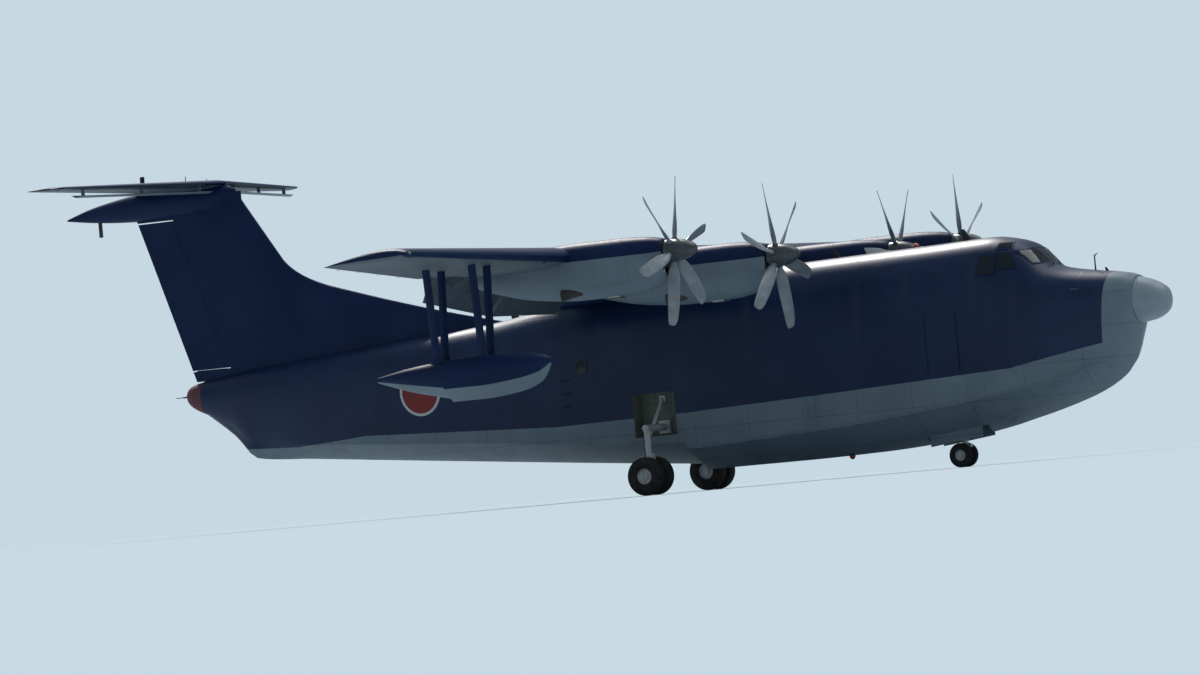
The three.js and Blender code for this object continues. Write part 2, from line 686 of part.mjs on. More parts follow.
function wings() {
  const centreBlank = wingBlank(WING_STATIONS.centre);
  const innerFlap = hingedSurface(centreBlank, HINGES.flapInner);
  let centre = centreBlank;
  for (const change of [innerFlap.cut, mirroredY(innerFlap.cut)]) centre = centre.subtract(change);
  for (const change of [innerFlap.brackets, mirroredY(innerFlap.brackets)]) centre = centre.add(change);
  for (const side of [-1, 1]) {
    const pad = wingPoint(side * JACK_PAD.y, JACK_PAD.share, 0);
    centre = centre.add(bar(pad, pad.clone().setZ(JACK_PAD.height), JACK_PAD.radius));
  }
  addNode('wing_centre', centre, COLOURS.navy);
  placeOnBothHinges('flap_inner', innerFlap.piece, HINGES.flapInner, -FLAP_DROP, COLOURS.underside);

  const outerBlank = wingBlank(WING_STATIONS.outer);
  const outerFlap = hingedSurface(outerBlank, HINGES.flapOuter);
  const aileron = hingedSurface(outerBlank, HINGES.aileron);
  const outer = outerBlank
    .subtract(outerFlap.cut)
    .subtract(aileron.cut)
    .add(outerFlap.brackets)
    .add(aileron.brackets);
  addBothSides('wing_outer', outer, COLOURS.navy);
  placeOnBothHinges('flap_outer', outerFlap.piece, HINGES.flapOuter, -FLAP_DROP, COLOURS.underside);
  placeOnBothHinges('aileron', aileron.piece, HINGES.aileron, 0, COLOURS.navy);
}

const JACK_PAD = { y: 2300, share: 0.3, radius: 70, height: KEEL_ABOVE_GROUND + 5130 };

const SADDLE_SECTIONS = [
  { aft: 11500, half: 250, top: 5260, bottom: 4900 },
  { aft: 12300, half: 760, top: 5640, bottom: 4800 },
  { aft: 13500, half: 980, top: 5500, bottom: 4700 },
  { aft: 15500, half: 1000, top: 5480, bottom: 4600 },
  { aft: 17300, half: 780, top: 5300, bottom: 4500 },
  { aft: 18400, half: 250, top: 4980, bottom: 4400 },
];

// The fairing that fills the space between the hull's top and the wing.
function wingSaddle() {
  const flapRoom = box(place(15900, -2000, 4000), place(19000, -1430, 6500));
  const otherFlapRoom = box(place(15900, 1430, 4000), place(19000, 2000, 6500));
  return loft(SADDLE_SECTIONS.map((section) => ovalRing(section, 16, 3)))
    .subtract(wingCutter())
    .subtract(hullBody(SEAT_GAP))
    .subtract(flapRoom)
    .subtract(otherFlapRoom);
}

// Nacelles, engines and propellers

const NACELLE_SECTIONS = [
  { behind: 215, half: 350, top: 320, bottom: -660 },
  { behind: 600, half: 440, top: 400, bottom: -880 },
  { behind: 1400, half: 540, top: 450, bottom: -1010 },
  { behind: 2600, half: 580, top: 450, bottom: -1030 },
  { behind: 3900, half: 560, top: 380, bottom: -930 },
  { behind: 5200, half: 430, top: 150, bottom: -640 },
  { behind: 6150, half: 180, top: -20, bottom: -270 },
];
const ENGINE = { front: 240, shoulder: 760, rear: 2450, gearRadius: 225, bodyRadius: 355, sides: 12 };
const INTAKE = { half: 210, low: -570, high: -390, rear: 750 };

function nacelle(engine) {
  const rings = NACELLE_SECTIONS.map((s) => ovalRing({
    aft: engine.hubAft + s.behind,
    half: s.half,
    top: engine.hubUp + s.top,
    bottom: engine.hubUp + s.bottom,
    y: Math.abs(engine.y),
  }, 16, 2.4));
  const at = (behind, rise) => place(engine.hubAft + behind, Math.abs(engine.y), engine.hubUp + rise);
  const bay = engineBay().translate(at(0, 0).toArray());
  const toSide = new THREE.Vector3(0, INTAKE.half, 0);
  const intake = box(at(100, INTAKE.low).sub(toSide), at(INTAKE.rear, INTAKE.high).add(toSide));
  return loft(rings)
    .subtract(wingCutter())
    .subtract(bay)
    .subtract(intake)
    .subtract(turningRoom(HINGES.flapOuter));
}

// The engine as one plain turned block with its propeller shaft.
function engineBlock() {
  const { shaftNose, shaftRadius } = PROPELLER;
  const shaft = [[shaftNose, 0], [shaftNose, shaftRadius], [-ENGINE.front, shaftRadius]];
  const casing = [
    [-ENGINE.front, ENGINE.gearRadius],
    [-ENGINE.shoulder, ENGINE.gearRadius],
    [-ENGINE.shoulder, ENGINE.bodyRadius],
    [-ENGINE.rear, ENGINE.bodyRadius],
  ];
  return turned([...shaft, ...casing, [-ENGINE.rear, 0]], ENGINE.sides);
}

// The space that the block fills in its nacelle, open at the front.
function engineBay() {
  const gearRadius = ENGINE.gearRadius + SEAT_GAP;
  const bodyRadius = ENGINE.bodyRadius + SEAT_GAP;
  const step = -ENGINE.shoulder + SEAT_GAP;
  const rear = -ENGINE.rear - SEAT_GAP;
  const gearRoom = [[0, 0], [0, gearRadius], [step, gearRadius]];
  const bodyRoom = [[step, bodyRadius], [rear, bodyRadius], [rear, 0]];
  return turned([...gearRoom, ...bodyRoom], ENGINE.sides);
}

const BLADE_SECTIONS = [
  { radius: 200, chord: 170, thick: 110, pitch: 58 },
  { radius: 800, chord: 320, thick: 50, pitch: 43 },
  { radius: 1650, chord: 330, thick: 24, pitch: 28 },
  { radius: PROPELLER.radius, chord: 200, thick: 12, pitch: 24 },
];
const BLADE_OUTLINE = [[0.15, -0.5], [-0.25, -0.45], [-0.5, 0], [-0.25, 0.45], [0.15, 0.5], [0.5, 0]];

// A blade along +Z. Its flat side faces aft, and its leading edge turns towards starboard over the top.
function blade() {
  const rings = BLADE_SECTIONS.map((s) => {
    const pitch = THREE.MathUtils.degToRad(s.pitch);
    return BLADE_OUTLINE.map(([along, across]) => {
      const chordwise = along * s.chord;
      const thickness = across * s.thick;
      return new THREE.Vector3(
        chordwise * Math.sin(pitch) + thickness * Math.cos(pitch),
        thickness * Math.sin(pitch) - chordwise * Math.cos(pitch),
        s.radius,
      );
    });
  });
  return loft(rings);
}

function propeller() {
  const { spinnerNose, spinnerBack, spinnerRadius, shaftRadius, shaftNose } = PROPELLER;
  const nose = spinnerNose + spinnerBack;
  const profile = [[spinnerNose, 0]];
  for (const share of [0.06, 0.22, 0.5, 1]) {
    profile.push([spinnerNose - nose * share, spinnerRadius * Math.sqrt(1 - (1 - share) ** 2)]);
  }
  profile.push([-spinnerBack, 0]);
  let body = turned(profile, 14);
  const oneBlade = blade();
  for (let i = 0; i < PROPELLER.blades; i++) {
    const turn = new THREE.Matrix4().makeRotationX((2 * Math.PI * i) / PROPELLER.blades);
    body = body.add(moved(oneBlade, turn));
  }
  const boreEnd = new THREE.Vector3(shaftNose + SEAT_GAP, 0, 0);
  return body.subtract(hole(new THREE.Vector3(-400, 0, 0), boreEnd, shaftRadius, ENGINE.sides, 0));
}

function powerPlants() {
  const propellerGeometry = geometryOf(propeller());
  const engineGeometry = geometryOf(engineBlock());
  for (const engine of ENGINES) {
    const side = engine.y > 0 ? portSide : starboardSide;
    addNode(`nacelle_${engine.name}`, nacelle(engine), COLOURS.navy, SURFACES.paint, side);
    const hub = place(engine.hubAft, engine.y, engine.hubUp);
    const block = addNode(`engine_${engine.name}`, engineGeometry, COLOURS.metal, SURFACES.metal);
    block.position.copy(hub);
    const rotor = addNode(`propeller_${engine.name}`, propellerGeometry, COLOURS.bladeGrey);
    rotor.position.copy(hub);
    rotor.rotation.x = THREE.MathUtils.degToRad(-engine.bladePhase);
  }
}

// Tail

const FIN_SECTIONS = [
  { up: 3600, leading: 24230, trailing: 29440, thick: 0.075 },
  { up: 6790, leading: 26330, trailing: 30475, thick: 0.085 },
  { up: 8610, leading: 27530, trailing: 31070, thick: 0.095 },
];
const DORSAL_SECTIONS = [
  { aft: 18900, top: 4500, baseHalf: 60 },
  { aft: 19700, top: 4530, baseHalf: 110 },
  { aft: 20800, top: 4790, baseHalf: 150 },
  { aft: 22100, top: 5130, baseHalf: 180 },
  { aft: 23320, top: 5480, baseHalf: 200 },
  { aft: 24230, top: 5760, baseHalf: 210 },
  { aft: 25250, top: 6090, baseHalf: 215 },
  { aft: 25900, top: 6420, baseHalf: 190 },
  { aft: 26500, top: 6700, baseHalf: 150 },
];
const RUDDER_HINGE = { from: { aft: 28400, up: 4190 }, to: { aft: 29900, up: 8570 } };
const RUDDER_TOP = 8230;
const RUDDER_TOP_GAP = 35;

function finRing({ up, leading, trailing, thick }) {
  const chord = trailing - leading;
  return aerofoil(thick, 0).map(([share, high]) => place(leading + share * chord, high * chord, up));
}

function dorsalRing({ aft, top, baseHalf }) {
  const half = [[1, 3600], [1, 4100], [0.62, top - 250], [0.25, top]];
  const otherHalf = half.map(([out, up]) => [-out, up]).reverse();
  return [...half, ...otherHalf].map(([out, up]) => place(aft, out * baseHalf, up));
}

const BULLET_SECTIONS = [
  { aft: 27560, half: 40, top: 8900, bottom: 8800 },
  { aft: 27800, half: 190, top: 9020, bottom: 8600 },
  { aft: 28400, half: 320, top: 9140, bottom: 8390 },
  { aft: 29300, half: 375, top: 9180, bottom: 8310 },
  { aft: 30400, half: 360, top: 9140, bottom: 8300 },
  { aft: 31400, half: 270, top: 9020, bottom: 8340 },
  { aft: 32400, half: 150, top: 8840, bottom: 8430 },
  { aft: LENGTH, half: 25, top: 8600, bottom: 8550 },
];

const bulletBody = (grow = 0) => loft(BULLET_SECTIONS.map((section) => ovalRing(section, 16, 2, grow)));

function fin() {
  const main = loft(FIN_SECTIONS.map(finRing));
  const dorsal = loft(DORSAL_SECTIONS.map(dorsalRing));
  return { main, whole: main.add(dorsal) };
}

function rudderHinge() {
  const ends = [RUDDER_HINGE.from, RUDDER_HINGE.to].map(({ aft, up }) => {
    const at = (column) => valueAt(FIN_SECTIONS, 'up', up, column);
    const chord = at('trailing') - at('leading');
    const share = (aft - at('leading')) / chord;
    return { point: place(aft, 0, up), radius: 1.02 * at('thick') * thicknessShape(share) * chord };
  });
  return {
    frame: hingeFrame(ends[0].point, ends[1].point),
    length: ends[0].point.distanceTo(ends[1].point),
    radiusFrom: ends[0].radius,
    radiusTo: ends[1].radius,
    bracketHalf: 14,
    eye: 45,
    pin: 15,
    drop: 0,
    noseSides: 16,
    stations: [0.08, 0.46, 0.86],
  };
}

const TAILPLANE_SECTIONS = [
  { y: 0, leading: 27970, trailing: 30900, thick: 0.09 },
  { y: 6200, leading: 29360, trailing: 30460, thick: 0.1 },
  { y: TAIL.halfSpan, leading: 29560, trailing: 30400, thick: 0.05 },
];

function tailplaneRing(y, grow = 0) {
  const at = (column) => valueAt(TAILPLANE_SECTIONS, 'y', Math.abs(y), column);
  const chord = at('trailing') - at('leading');
  const ring = aerofoil(at('thick'), 0).map(([share, high]) =>
    place(at('leading') + share * chord, y, TAIL.planeUp + high * chord));
  return grown(ring, grow, 'x', 'z');
}

const tailplaneBlank = (grow = 0) =>
  loft([-TAIL.halfSpan, -6200, 0, 6200, TAIL.halfSpan].map((y) => tailplaneRing(y, grow)));

function elevatorHinge() {
  const ends = [780, 6120].map((y) => {
    const at = (column) => valueAt(TAILPLANE_SECTIONS, 'y', y, column);
    const chord = at('trailing') - at('leading');
    const share = (TAIL.elevatorHingeAft - at('leading')) / chord;
    return {
      point: place(TAIL.elevatorHingeAft, y, TAIL.planeUp),
      radius: 1.02 * at('thick') * thicknessShape(share) * chord,
    };
  });
  return {
    frame: hingeFrame(ends[0].point, ends[1].point),
    length: ends[0].point.distanceTo(ends[1].point),
    radiusFrom: ends[0].radius,
    radiusTo: ends[1].radius,
    bracketHalf: 12,
    eye: 24,
    pin: 9,
    drop: 0,
    noseSides: 16,
    stations: [0.06, 0.5, 0.88],
  };
}

HINGES.rudder = rudderHinge();
HINGES.elevator = elevatorHinge();

const SLAT = { yFrom: 620, yTo: 5600, chord: 330, below: 250, posts: [900, 3100, 5300] };
const SLAT_OUTLINE = [[0, 0], [0.5, -0.05], [1, 0.1], [1, 0.17], [0.5, 0.05], [0, 0.08]];

// The fixed slat under the tailplane's leading edge, hung from it by flat posts.
function tailSlat() {
  const leadingAt = (y) => valueAt(TAILPLANE_SECTIONS, 'y', y, 'leading');
  const ring = (y) => SLAT_OUTLINE.map(([share, rise]) =>
    place(leadingAt(y) - 60 + share * SLAT.chord, y, TAIL.planeUp - SLAT.below + rise * SLAT.chord));
  let body = loft([ring(SLAT.yFrom), ring(SLAT.yTo)]);
  for (const y of SLAT.posts) {
    const front = leadingAt(y) + 90;
    const foot = place(front, y - 12, TAIL.planeUp - SLAT.below);
    const post = box(foot, place(front + 110, y + 12, TAIL.planeUp));
    body = body.add(post.subtract(tailplaneBlank(SEAT_GAP)));
  }
  return body;
}

function tail() {
  const finParts = fin();
  const below = (up) => box(place(35000, -1000, 0), place(20000, 1000, up));
  const rudder = hingedSurface(finParts.main.intersect(below(RUDDER_TOP)), HINGES.rudder);
  const finBody = finParts.whole
    .subtract(hullBody(SEAT_GAP))
    .subtract(loft(TAIL_END_SECTIONS.map((section) => ovalRing(section, 16, 2, SEAT_GAP))))
    .subtract(bulletBody(SEAT_GAP))
    .subtract(rudder.cut.intersect(below(RUDDER_TOP + RUDDER_TOP_GAP)))
    .add(rudder.brackets);
  addNode('fin', largestPiece(finBody), COLOURS.navy);
  placeOnHinge('rudder', rudder.piece, HINGES.rudder, 0, COLOURS.navy, flyingBoat);

  const elevator = hingedSurface(tailplaneBlank(), HINGES.elevator);
  const tailplane = tailplaneBlank()
    .subtract(elevator.cut)
    .subtract(mirroredY(elevator.cut))
    .add(elevator.brackets)
    .add(mirroredY(elevator.brackets))
    .add(box(place(30620, -15, TAIL.planeUp), place(30760, 15, 9560)));
  addNode('tailplane', tailplane, COLOURS.navy);
  placeOnBothHinges('elevator', elevator.piece, HINGES.elevator, 0, COLOURS.underside);
  addBothSides('tailplane_slat', tailSlat(), COLOURS.underside);

  const mast = box(place(32130, -12, 8000), place(32250, 12, 8500));
  addNode('tail_fairing', bulletBody().subtract(tailplaneBlank(SEAT_GAP)).add(mast), COLOURS.navy);
}

// Wing floats

const FLOAT_STRUTS = [
  { aft: 13250, lean: 400, foot: 200 },
  { aft: 13250, lean: -400, foot: -200 },
  { aft: 14570, lean: 400, foot: 200 },
  { aft: 14570, lean: -400, foot: -200 },
];

const STRUT_OUTLINE = [[-110, 0], [-40, 34], [40, 30], [120, 0], [40, -30], [-40, -34]];

function wingFloat() {
  let body = loft(FLOAT_SECTIONS.map((section) => hullRing(section, 0, FLOAT.noseAft, FLOAT.y)));
  const wing = wingCutter();
  const strutRing = (aft, y, up) =>
    STRUT_OUTLINE.map(([along, across]) => place(aft + along, y + across, up));
  for (const strut of FLOAT_STRUTS) {
    const foot = strutRing(strut.aft, FLOAT.y + strut.foot, 3000);
    const head = strutRing(strut.aft, FLOAT.y + strut.lean, 5700);
    body = body.add(loft([foot, head]).subtract(wing));
  }
  return largestPiece(body);
}

// Struts that pass right through the wing leave a tip above it, which isn't wanted.
function largestPiece(body) {
  return body.decompose().reduce((best, piece) => (piece.volume() > best.volume() ? piece : best));
}

// Landing gear

const TORQUE_LINK = [[40, 40], [190, 300], [170, 560], [60, 620], [60, 560], [140, 300], [40, 110]];

// The leg is carried by a trunnion and a brace, both seated on the inner wall of its bay.
function mainLeg() {
  const { aft, y, radius, axleRadius } = MAIN_WHEEL;
  const axle = ground(aft, y, radius);
  const at = (yAt, up) => place(aft, yAt, up);
  const seat = MAIN_BAY.innerY + SEAT_GAP;
  const oleoTop = at(y, 1260);
  return joined([
    bar(at(seat, 1230), at(y + 90, 1230), 95),
    box(place(aft - 170, seat, 1060), place(aft + 170, seat + 60, 1400)),
    bar(axle.clone().setZ(axle.z + 330), oleoTop, 88),
    bar(axle, axle.clone().setZ(axle.z + 500), 58),
    bar(axle.clone().setY(y - 80), axle.clone().setY(y + 80), axleRadius + 45, axleRadius + 45, 16),
    bar(at(seat + 50, 1970), at(y - 10, 900), 48),
    box(place(aft - 90, seat, 1890), place(aft + 90, seat + 50, 2070)),
    plate(TORQUE_LINK.map(([forward, rise]) => [axle.x + forward, axle.z + rise]), y - 22, y + 22),
  ]).subtract(hole(axle.clone().setY(y - 200), axle.clone().setY(y + 200), axleRadius, MAIN_WHEEL.sides, 0));
}

// A live axle with a rim at each end, as one solid turned about Y.
function axleWithRims({ pairHalf, rimRadius, width, axleRadius, sides }, centre) {
  const seat = rimRadius - SEAT_GAP;
  const rimHalf = width * 0.34;
  const half = [
    [axleRadius, pairHalf - rimHalf],
    [seat, pairHalf - rimHalf],
    [seat, pairHalf + rimHalf],
    [0.45 * rimRadius, pairHalf + 0.14 * width],
    [0, pairHalf + 0.24 * width],
  ];
  const otherHalf = half.map(([radius, along]) => [radius, -along]).reverse();
  const points = [...otherHalf, ...half].map(([radius, along]) => new THREE.Vector2(radius, along));
  const turnedAxle = new THREE.LatheGeometry(points, sides).rotateY(Math.PI / sides);
  return solid(turnedAxle.translate(centre.x, centre.y, centre.z));
}

const TYRE_HALF_PROFILE = [[0.26, 1], [0.46, 0.75], [0.5, 0.35], [0.34, 0]];

// A tyre on its side axis Y, flat at the foot where it stands.
function tyre({ radius, rimRadius, width, sides }) {
  const outer = radius / Math.cos(Math.PI / sides);
  const otherHalf = TYRE_HALF_PROFILE.map(([share, rise]) => [-share, rise]).reverse();
  const points = [...otherHalf, ...TYRE_HALF_PROFILE].map(([share, rise]) =>
    new THREE.Vector2(THREE.MathUtils.lerp(rimRadius, outer, rise), share * width));
  points.push(points[0].clone());
  return solid(new THREE.LatheGeometry(points, sides).rotateY(Math.PI / sides));
}

function mainGear() {
  addBothSides('main_leg', mainLeg(), COLOURS.metal, SURFACES.metal);
  const centre = ground(MAIN_WHEEL.aft, MAIN_WHEEL.y, MAIN_WHEEL.radius);
  addBothSides('main_axle', axleWithRims(MAIN_WHEEL, centre), COLOURS.lightGrey, SURFACES.metal);
  for (const [name, offset] of [['inner', -MAIN_WHEEL.pairHalf], ['outer', MAIN_WHEEL.pairHalf]]) {
    const shift = new THREE.Matrix4().makeTranslation(centre.x, centre.y + offset, centre.z);
    addBothSides(`main_tyre_${name}`, moved(tyre(MAIN_WHEEL), shift), COLOURS.rubber, SURFACES.rubber);
  }
}

const NOSE_LEG = {
  pistonRadius: 62,
  pistonLow: -40,
  sleeveRadius: 105,
  sleeveLow: 150,
  socketTop: 520,
  trail: 60,
  sides: 16,
};

function noseLeg() {
  const { sleeveRadius, sleeveLow, socketTop, pistonRadius, trail, sides } = NOSE_LEG;
  const strutAft = NOSE_WHEEL.aft - trail;
  const top = NOSE_BAY.roof - SEAT_GAP;
  const foot = place(strutAft, 0, sleeveLow);
  const trunnionHalf = NOSE_BAY.half - SEAT_GAP;
  return joined([
    bar(foot, place(strutAft, 0, top), sleeveRadius, sleeveRadius, sides),
    bar(place(strutAft, -trunnionHalf, 1000), place(strutAft, trunnionHalf, 1000), 70),
    bar(place(strutAft + 30, 0, 420), place(strutAft + 620, 0, 1080), 42),
    box(place(strutAft + 520, -90, 1060), place(strutAft + 700, 90, top)),
  ]).subtract(hole(foot.clone().setZ(foot.z - 10), place(strutAft, 0, socketTop), pistonRadius, sides));
}

function noseFork() {
  const { aft, radius, axleRadius } = NOSE_WHEEL;
  const { pistonRadius, pistonLow, sleeveLow, socketTop, trail, sides } = NOSE_LEG;
  const strutAft = aft - trail;
  const at = (up) => place(strutAft, 0, up);
  const axle = ground(aft, 0, radius);
  const bossHalf = 62;
  const bossRadius = axleRadius + 34;
  const footOutline = [[-50, 0], [50, 0], [130, 190], [-10, 190]];
  return joined([
    bar(at(pistonLow), at(socketTop - SEAT_GAP), pistonRadius, pistonRadius, sides),
    bar(at(sleeveLow - 54), at(sleeveLow - 6), 100, 100, sides),
    bar(axle.clone().setY(-bossHalf), axle.clone().setY(bossHalf), bossRadius, bossRadius, sides),
    plate(footOutline.map(([forward, rise]) => [axle.x + forward, axle.z + rise]), -40, 40),
    box(place(strutAft - 190, -45, pistonLow), place(strutAft - 40, 45, 50)),
  ]).subtract(hole(axle.clone().setY(-200), axle.clone().setY(200), axleRadius, NOSE_WHEEL.sides, 0));
}

const NOSE_DOOR = { frontAft: 5500, rearAft: 7000, thickness: 22, hang: 300, flare: 40 };

// A bay door hanging open at the edge of the nose wheel bay, carried by its top edge.
function noseDoor() {
  const inner = NOSE_BAY.half + 8;
  const outer = inner + NOSE_DOOR.thickness;
  const bottomAt = (aft) => {
    const at = (column) => valueAt(HULL_SECTIONS, 'aft', aft, column);
    const halfway = (at('keel') + at('chine')) / 2;
    return THREE.MathUtils.mapLinear(inner, 0, at('chineHalf') * 0.55, at('keel'), halfway);
  };
  const ring = (aft) => {
    const low = bottomAt(aft) - NOSE_DOOR.hang;
    const { flare } = NOSE_DOOR;
    const corners = [[inner, 600], [outer, 600], [outer + flare, low], [inner + flare, low]];
    return corners.map(([y, up]) => place(aft, y, up));
  };
  return loft([ring(NOSE_DOOR.frontAft), ring(NOSE_DOOR.rearAft)]).subtract(hullBody(SEAT_GAP));
}

function noseGear() {
  addNode('nose_leg', noseLeg(), COLOURS.metal, SURFACES.metal);
  addNode('nose_fork', noseFork(), COLOURS.metal, SURFACES.metal);
  const centre = ground(NOSE_WHEEL.aft, 0, NOSE_WHEEL.radius);
  addNode('nose_axle', axleWithRims(NOSE_WHEEL, centre), COLOURS.lightGrey, SURFACES.metal);
  for (const [name, offset] of [['port', NOSE_WHEEL.pairHalf], ['starboard', -NOSE_WHEEL.pairHalf]]) {
    const shift = new THREE.Matrix4().makeTranslation(centre.x, offset, centre.z);
    addNode(`nose_tyre_${name}`, moved(tyre(NOSE_WHEEL), shift), COLOURS.rubber, SURFACES.rubber);
  }
  addBothSides('nose_bay_door', noseDoor(), COLOURS.lightGrey);
}

addNode('hull', hull(), COLOURS.navy);
addNode('radome', radome(), COLOURS.radomeGrey);
addNode('cockpit_glass', cockpitGlass(), COLOURS.glass, SURFACES.glass);
addNode('side_door', sideDoor(), COLOURS.navy);
addNode('tail_end', tailEnd(), COLOURS.tailEnd);
wings();
addNode('wing_saddle', wingSaddle(), COLOURS.navy);
powerPlants();
tail();
addBothSides('float', wingFloat(), COLOURS.navy);
mainGear();
noseGear();

export default flyingBoat;
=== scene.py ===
import math

import bmesh
import bpy
import numpy as np
from mathutils import Matrix, Vector


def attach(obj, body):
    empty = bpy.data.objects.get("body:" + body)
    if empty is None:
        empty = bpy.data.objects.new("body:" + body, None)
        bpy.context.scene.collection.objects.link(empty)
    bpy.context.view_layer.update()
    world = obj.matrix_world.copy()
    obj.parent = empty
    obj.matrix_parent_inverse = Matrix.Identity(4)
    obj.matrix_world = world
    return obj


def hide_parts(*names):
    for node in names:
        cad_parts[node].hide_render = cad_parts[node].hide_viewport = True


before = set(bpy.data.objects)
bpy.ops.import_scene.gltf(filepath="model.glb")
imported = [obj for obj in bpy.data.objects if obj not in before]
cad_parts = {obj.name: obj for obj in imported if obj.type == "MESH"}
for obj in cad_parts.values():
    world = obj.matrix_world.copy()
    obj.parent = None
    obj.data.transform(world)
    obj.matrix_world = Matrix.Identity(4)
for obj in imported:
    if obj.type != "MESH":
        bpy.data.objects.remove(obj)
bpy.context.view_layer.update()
print("frame loaded:", len(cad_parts), "nodes")

# Places are metres aft of the nose tip, metres to port and metres above the keel at the step.
halfLength = 16.625
keelHeight = 0.55
bothSides = (("port", 1), ("starboard", -1))


def place(aft, y, up):
    return Vector((halfLength - aft, y, keelHeight + up))


# A piece's name in camel case, from its words.
def joined(first, *words):
    return first + "".join(word.capitalize() for word in words)


# A smooth line through a table's points that never overshoots them.
def smoothThrough(xs, ys):
    step = np.diff(xs)
    slope = np.diff(ys) / step
    tangent = np.zeros(len(xs))
    tangent[0], tangent[-1] = slope[0], slope[-1]
    for i in range(1, len(xs) - 1):
        if slope[i - 1] * slope[i] > 0:
            a, b = 2 * step[i] + step[i - 1], step[i] + 2 * step[i - 1]
            tangent[i] = (a + b) / (a / slope[i - 1] + b / slope[i])

    def valueAt(x):
        i = int(np.clip(np.searchsorted(xs, x) - 1, 0, len(xs) - 2))
        h = step[i]
        t = (x - xs[i]) / h
        start = (1 + 2 * t) * (1 - t) ** 2 * ys[i] + t * (1 - t) ** 2 * h * tangent[i]
        end = t * t * (3 - 2 * t) * ys[i + 1] + t * t * (t - 1) * h * tangent[i + 1]
        return float(start + end)
    return valueAt


# One smooth line for each column of a table, over its first column.
def columnsOf(table):
    rows = np.array(table, float)
    return [smoothThrough(rows[:, 0], rows[:, c]) for c in range(1, rows.shape[1])]


# A table's other columns at a value of its first, in straight lines between rows.
def straightAt(table, x):
    places, *columns = zip(*table)
    return [float(np.interp(x, places, column)) for column in columns]


def finishMesh(bm, name, sharpAngle):
    bmesh.ops.recalc_face_normals(bm, faces=bm.faces)
    mesh = bpy.data.meshes.new(name)
    bm.to_mesh(mesh)
    bm.free()
    mesh.polygons.foreach_set("use_smooth", [True] * len(mesh.polygons))
    mesh.set_sharp_from_angle(angle=math.radians(sharpAngle))
    return mesh


# Objects that share a mesh take its materials from the first of them.
def addObject(name, mesh, materials, body="airframe", replaces=(), matrix=None):
    obj = bpy.data.objects.new(name, mesh)
    bpy.context.scene.collection.objects.link(obj)
    if not mesh.materials:
        for material in materials:
            mesh.materials.append(material)
    if matrix is not None:
        obj.matrix_world = matrix
    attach(obj, body)
    if replaces:
        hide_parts(*replaces)
    return obj


def addPiece(name, bm, sharpAngle, materials, body="airframe", replaces=()):
    return addObject(name, finishMesh(bm, name, sharpAngle), materials, body, replaces)


def weld(bm, distance=1e-5):
    bmesh.ops.remove_doubles(bm, verts=bm.verts, dist=distance)


def splitLargeFaces(bm):
    bmesh.ops.triangulate(bm, faces=[f for f in bm.faces if len(f.verts) > 4])


# Skins rings that have equal numbers of points. strip(ring, point) gives a strip's colour.
def skinRings(bm, rings, caps=(True, True), strip=None, capColour=0):
    rows = [[bm.verts.new(p) for p in ring] for ring in rings]
    count = len(rings[0])
    for r in range(len(rows) - 1):
        for i in range(count):
            j = (i + 1) % count
            face = bm.faces.new((rows[r][i], rows[r][j], rows[r + 1][j], rows[r + 1][i]))
            face.material_index = strip(r, i) if strip else 0
    for wanted, row in zip(caps, (rows[0], rows[-1])):
        if wanted:
            bm.faces.new(row).material_index = capColour


def ringsMesh(name, rings, sharpAngle=38, **settings):
    bm = bmesh.new()
    skinRings(bm, rings, **settings)
    weld(bm, 2e-5)
    splitLargeFaces(bm)
    return finishMesh(bm, name, sharpAngle)


def mirroredMesh(mesh, name):
    bm = bmesh.new()
    bm.from_mesh(mesh)
    bmesh.ops.scale(bm, vec=(1, -1, 1), verts=bm.verts)
    bmesh.ops.reverse_faces(bm, faces=bm.faces)
    copy = bpy.data.meshes.new(name)
    bm.to_mesh(copy)
    bm.free()
    for material in mesh.materials:
        copy.materials.append(material)
    return copy


# The port piece and its mirror image. SIDE stands for the side's name in a body or a node.
def addBothSides(name, mesh, materials, body="airframe", replaces=()):
    for word, side in bothSides:
        own = mesh if side > 0 else mirroredMesh(mesh, joined(name, word))
        nodes = [node.replace("SIDE", word) for node in replaces]
        addObject(joined(name, word), own, materials, body.replace("SIDE", word), nodes)


def boxInto(bm, low, high, colour=0, bevel=0.0):
    made = bmesh.ops.create_cube(bm, size=1)["verts"]
    size = [abs(b - a) for a, b in zip(low, high)]
    middle = [(a + b) / 2 for a, b in zip(low, high)]
    bmesh.ops.scale(bm, vec=size, verts=made)
    faces = {f for v in made for f in v.link_faces}
    if bevel:
        edges = {e for v in made for e in v.link_edges}
        result = bmesh.ops.bevel(bm, geom=list(edges), offset=bevel, segments=2, affect="EDGES")
        faces = {f for f in faces if f.is_valid} | set(result["faces"])
        made = list({v for f in faces for v in f.verts})
    bmesh.ops.translate(bm, vec=middle, verts=made)
    for f in faces:
        f.material_index = colour


# A round rod between two points, with its own radius at each end.
def rodInto(bm, start, end, radius, radiusEnd=None, sides=20, colour=0):
    start, end = Vector(start), Vector(end)
    along = end - start
    made = bmesh.ops.create_cone(
        bm, cap_ends=True, segments=sides, radius1=radius,
        radius2=radius if radiusEnd is None else radiusEnd, depth=along.length,
    )["verts"]
    turn = along.to_track_quat("Z", "Y").to_matrix()
    bmesh.ops.rotate(bm, cent=(0, 0, 0), matrix=turn, verts=made)
    bmesh.ops.translate(bm, vec=(start + end) / 2, verts=made)
    for f in {f for v in made for f in v.link_faces}:
        f.material_index = colour


